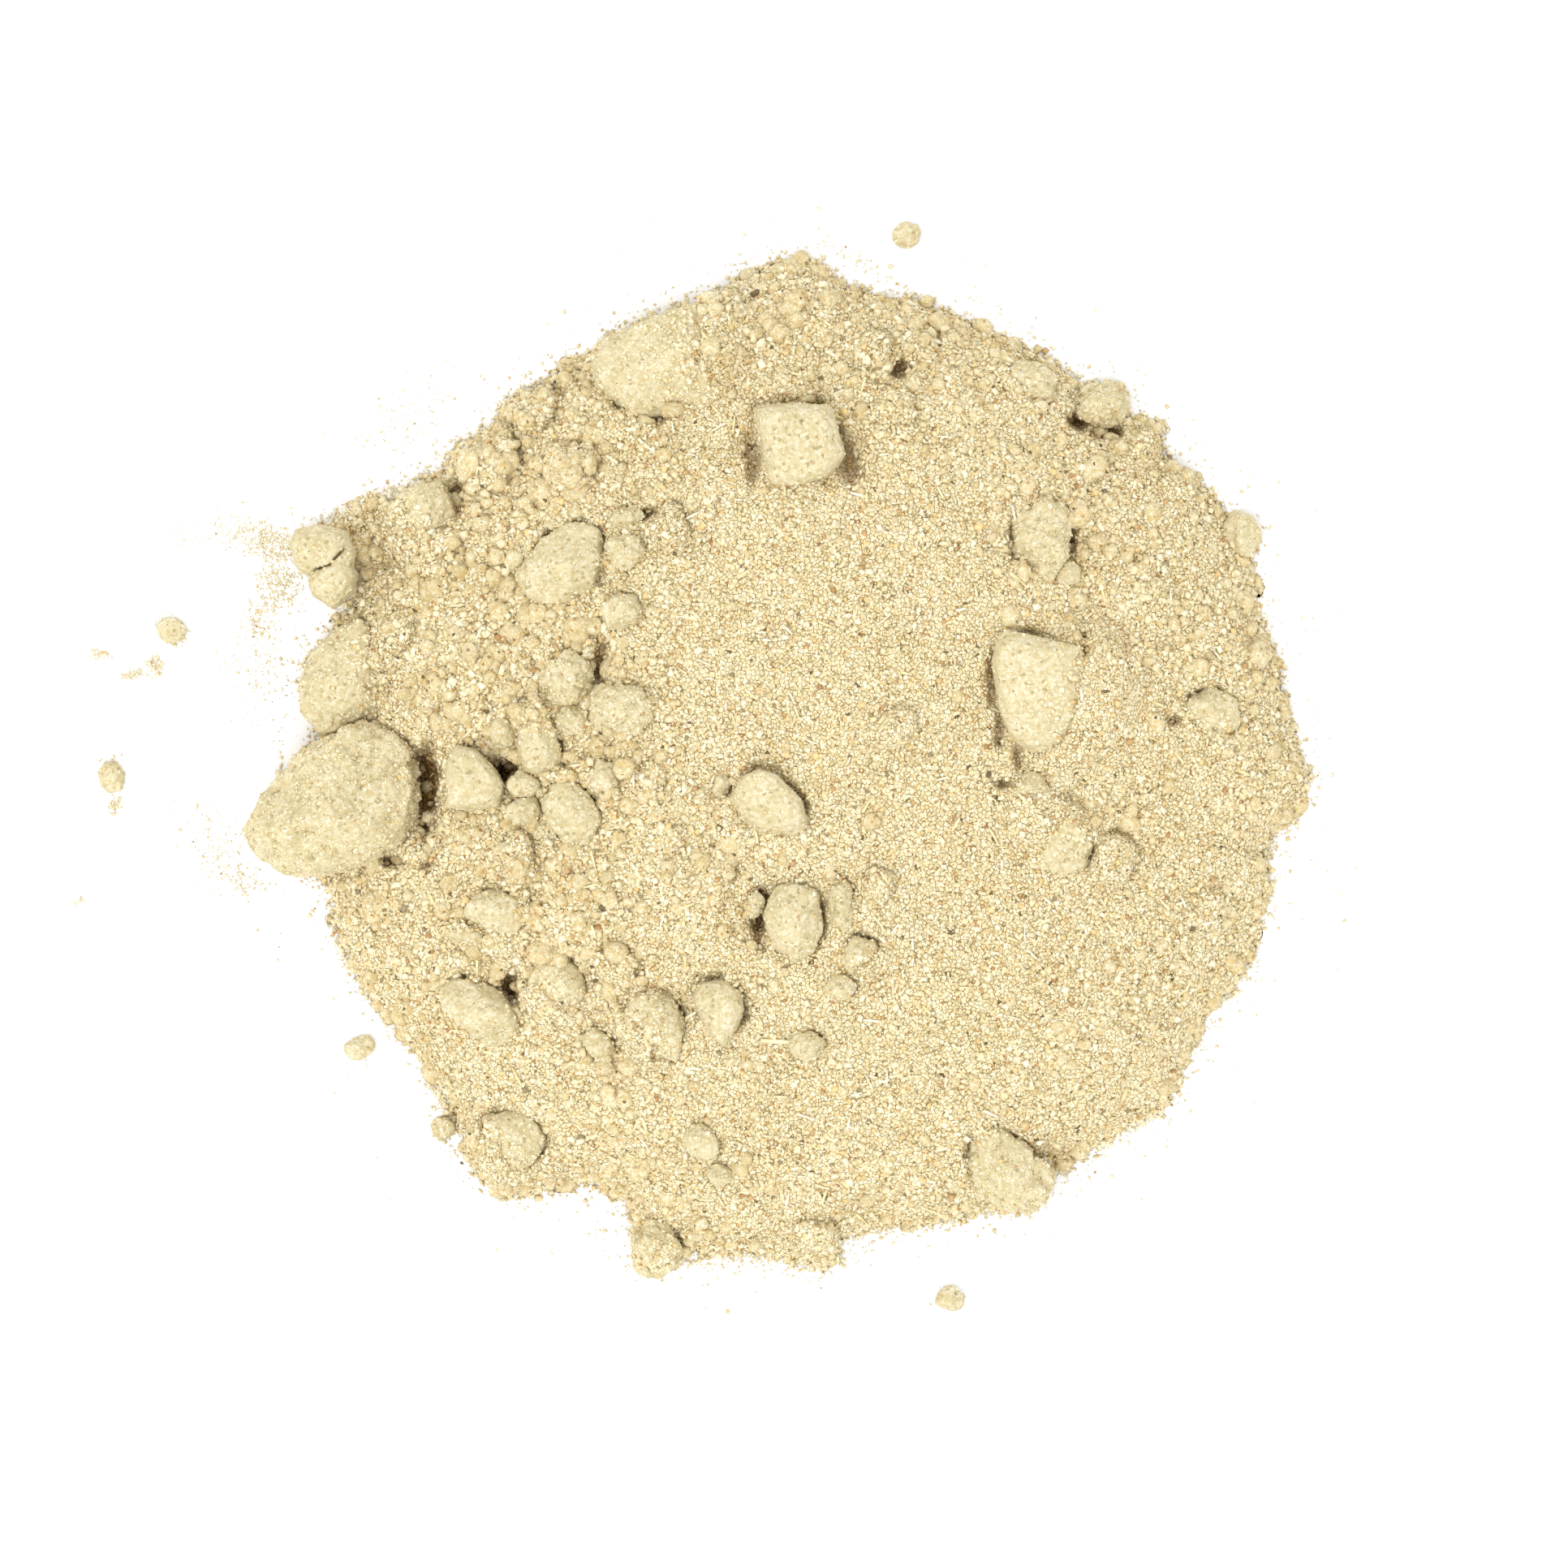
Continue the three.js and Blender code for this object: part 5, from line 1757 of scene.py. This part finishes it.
    def crumb_batch(self, batch: CrumbBatch) -> bpy.types.Object:
        """Crumbs that are half sunk in the powder and lie at its edge.

        Args:
            batch: Their sizes, numbers and places.

        Returns:
            The piece.
        """
        bed = self.bed
        chosen = self.draw.integers(0, len(self.rim[0]), batch.on_rim)
        away = getattr(self.draw, batch.law.value)(*batch.away, batch.on_rim) * MM
        rim_x, rim_y = self.beyond(chosen, away)
        j, i = np.nonzero((bed.inward >= batch.inward) & (bed.coarse > batch.coarse))
        weight = bed.coarse[j, i] ** batch.favour
        picked = self.draw.choice(len(j), batch.on_powder, p=weight / weight.sum())
        px = np.concatenate([rim_x, bed.xs[i[picked]]])
        py = np.concatenate([rim_y, bed.ys[j[picked]]])
        height, up, there = bed.at(px, py)
        middle = batch.middle * MM * np.exp(self.draw.normal(0, batch.spread, len(px))).clip(*batch.limits)
        middle[: batch.on_rim] *= batch.rim_share
        sizes = middle[:, None] * self.draw.uniform(batch.narrowest, 1.0, (len(px), 3))
        sunk = self.draw.uniform(*batch.sunk, len(px)) * middle
        places = np.stack([px, py, np.where(there, height + sunk, 0.28 * middle)], axis=1)
        grains = Grains(places, up, sizes, self.pick(CRUMB_TINTS, len(px))).subset(~bed.hidden(px, py))
        shapes = self.crumbs[batch.fineness]
        return self.scatter(batch.name, grains, shapes, self.crumb_material, tilt=batch.tilt)

    def fibres(self, count: int = 420) -> bpy.types.Object:
        """Pale fibres of the root that lie on the powder.

        Args:
            count: How many.

        Returns:
            The piece.
        """
        px, py = self.anywhere(4, count)
        height, ways, _ = self.bed.at(px, py)
        length = 1.15 * MM * np.exp(self.draw.normal(0, 0.3, count)).clip(0.5, 1.8)
        width = self.draw.uniform(0.18, 0.34, count) * MM
        sizes = np.stack([length, width, 0.6 * width], axis=1)
        places = np.stack([px, py, height + 0.2 * MM], axis=1)
        grains = Grains(places, ways, sizes, self.pick(FIBRE_COLOURS, count))
        return self.scatter("fibres", grains.subset(~self.bed.hidden(px, py)), self.slivers, tilt=0.12)

    def long_fibre(self) -> bpy.types.Object:
        """The longest fibre, beside round_crumb.

        Returns:
            The piece.
        """
        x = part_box("round_crumb")[0].x - 1.5 * MM
        y = middle_of("round_crumb").y + 0.4 * MM
        height, ways, _ = self.bed.at(np.array([x]), np.array([y]))
        place = np.array([[x, y, height[0] + 0.3 * MM]])
        grains = Grains(place, ways, np.array([[3.0, 0.55, 0.3]]) * MM, np.array([linear("#f6eac0")]))
        return self.scatter("longest_fibre", grains, self.slivers[:1], tilt=0.0, along=-0.06)

    def dust(self) -> bpy.types.Object:
        """All the drifts of dust on the table, as one piece.

        Returns:
            The piece.
        """
        batches = [drift.grains(self.draw) for drift in DRIFTS]
        parts = ("places", "ups", "sizes", "colours")
        joined = Grains(*(np.concatenate([getattr(batch, part) for batch in batches]) for part in parts))
        x, y = joined.places[:, 0], joined.places[:, 1]
        low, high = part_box(HEAP_NODE)
        off_map = (x < low.x) | (x > high.x) | (y < low.y) | (y > high.y)
        return self.scatter("table_dust", joined.subset(off_map | ~self.bed.at(x, y)[2]), tilt=0.2)

    def specks(self, stray: int = 70) -> bpy.types.Object:
        """Brown and dark specks of peel on the powder, some in groups.

        Args:
            stray: How many lie on their own.

        Returns:
            The piece.
        """
        xs, ys = ([cells] for cells in self.anywhere(2, stray))
        for anchor, offset, reach, count in SPECK_GROUPS:
            middle = middle_of(anchor)
            xs.append(middle.x + (offset[0] + self.draw.normal(0, 0.5, count) * reach) * MM)
            ys.append(middle.y + (offset[1] + self.draw.normal(0, 0.5, count) * reach) * MM)
        x, y = np.concatenate(xs), np.concatenate(ys)
        height, ways, there = self.bed.at(x, y)
        sizes = grain_sizes(len(x), 0.26 * MM, self.draw, 0.3)
        places = np.stack([x, y, height], axis=1) + ways * (0.45 * sizes[:, 2])[:, None]
        grains = Grains(places, ways, sizes, self.pick(PEEL_COLOURS, len(x)))
        return self.scatter("peel_specks", grains.subset(there & ~self.bed.hidden(x, y)), tilt=0.4)


# ---------------------------------------------------------------- studio


@dataclass
class Studio:
    """A white board under soft, even light, seen from straight above.

    Attributes:
        view_centre: The middle of the view on the table.
        view_width: Width of the view at its level.
        view_level: Height above the table that the width is measured at.
        camera_height: Height of the camera above the table.
        camera_reach: Nearest and farthest that it sees.
        sensor: Width of its sensor, in millimetres.
        board_side: Side of the board.
        board_depth: How far it lies below the grains.
        dome: Strength of the white dome.
        key_power: Power of the soft box.
        key_place: Its place.
        key_side: Its side.
    """

    view_centre: Pair = (0.4 * MM, -2.2 * MM)
    view_width: float = 154.6 * MM
    view_level: float = 5.0 * MM
    camera_height: float = 1.0
    camera_reach: Pair = (0.05, 20.0)
    sensor: float = 36.0
    board_side: float = 9.0
    board_depth: float = 0.02 * MM
    dome: float = 1.31
    key_power: float = 3.4
    key_place: tuple[float, float, float] = (-0.28, -0.3, 0.86)
    key_side: float = 0.5

    def build(self) -> None:
        """Lays the board, hangs the lights and sets up the camera."""
        self.lay_board()
        self.light()
        self.aim_camera()

    def lay_board(self) -> None:
        """Lays the board just under the grains."""
        half = self.board_side / 2
        signs = ((-1, -1), (1, -1), (1, 1), (-1, 1))
        corners = np.array([(half * x, half * y, -self.board_depth) for x, y in signs])
        board = mesh_object("board", corners, np.array([[0, 1, 2, 3]]), WhiteBoard().material())

    def light(self) -> None:
        """A white dome, and a soft box from the lower left."""
        world = bpy.data.worlds.new("white_dome")
        world.use_nodes = True
        world.node_tree.nodes.clear()
        add = partial(add_node, world.node_tree)
        sky = add("ShaderNodeBackground", {"Color": (1, 1, 1, 1), "Strength": self.dome})
        add("ShaderNodeOutputWorld", {"Surface": sky.outputs[0]})
        bpy.context.scene.world = world
        lamp = bpy.data.lights.new("soft_box", "AREA")
        lamp.energy = self.key_power
        lamp.shape = "SQUARE"
        lamp.size = self.key_side
        box = bpy.data.objects.new("soft_box", lamp)
        box.location = self.key_place
        box.rotation_euler = Vector(self.key_place).to_track_quat("Z", "Y").to_euler()
        bpy.context.scene.collection.objects.link(box)
        bpy.context.scene.view_settings.view_transform = "Standard"

    def aim_camera(self) -> None:
        """Looks straight down, with +Y at the top of the picture."""
        lens = bpy.data.cameras.new("overhead")
        lens.sensor_width = self.sensor
        lens.lens = self.sensor * (self.camera_height - self.view_level) / self.view_width
        lens.clip_start, lens.clip_end = self.camera_reach
        camera = bpy.data.objects.new("overhead", lens)
        camera.location = (*self.view_centre, self.camera_height)
        bpy.context.scene.collection.objects.link(camera)
        bpy.context.scene.camera = camera


# ---------------------------------------------------------------- the whole heap


def main() -> None:
    """Builds the heap's shown pieces, then the board, lights and camera."""
    logging.basicConfig(level=logging.INFO, format="%(name)s: %(message)s")
    caked = CakedGinger().material()
    names = sorted(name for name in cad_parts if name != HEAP_NODE)
    lumps = [CakedLump(name, caked, skin_of(name), BANKS.get(name)) for name in names]
    pieces = [lump.build(100 + 13 * number) for number, lump in enumerate(lumps)]
    bed = PowderBed(lumps)
    pieces.append(bed.build())
    grains = GrainField(bed, np.random.default_rng(DRAW_SEED))
    pieces += [*grains.powder_grains(), grains.lump_grains(), grains.rim_grains()]
    pieces += [grains.crumb_batch(batch) for batch in CRUMB_BATCHES]
    pieces += [grains.fibres(), grains.long_fibre(), grains.dust(), grains.specks()]
    for piece in pieces:
        LOG.info("%s: %d faces", piece.name, len(piece.data.polygons))
    Studio().build()


if __name__ == "__main__":
    main()
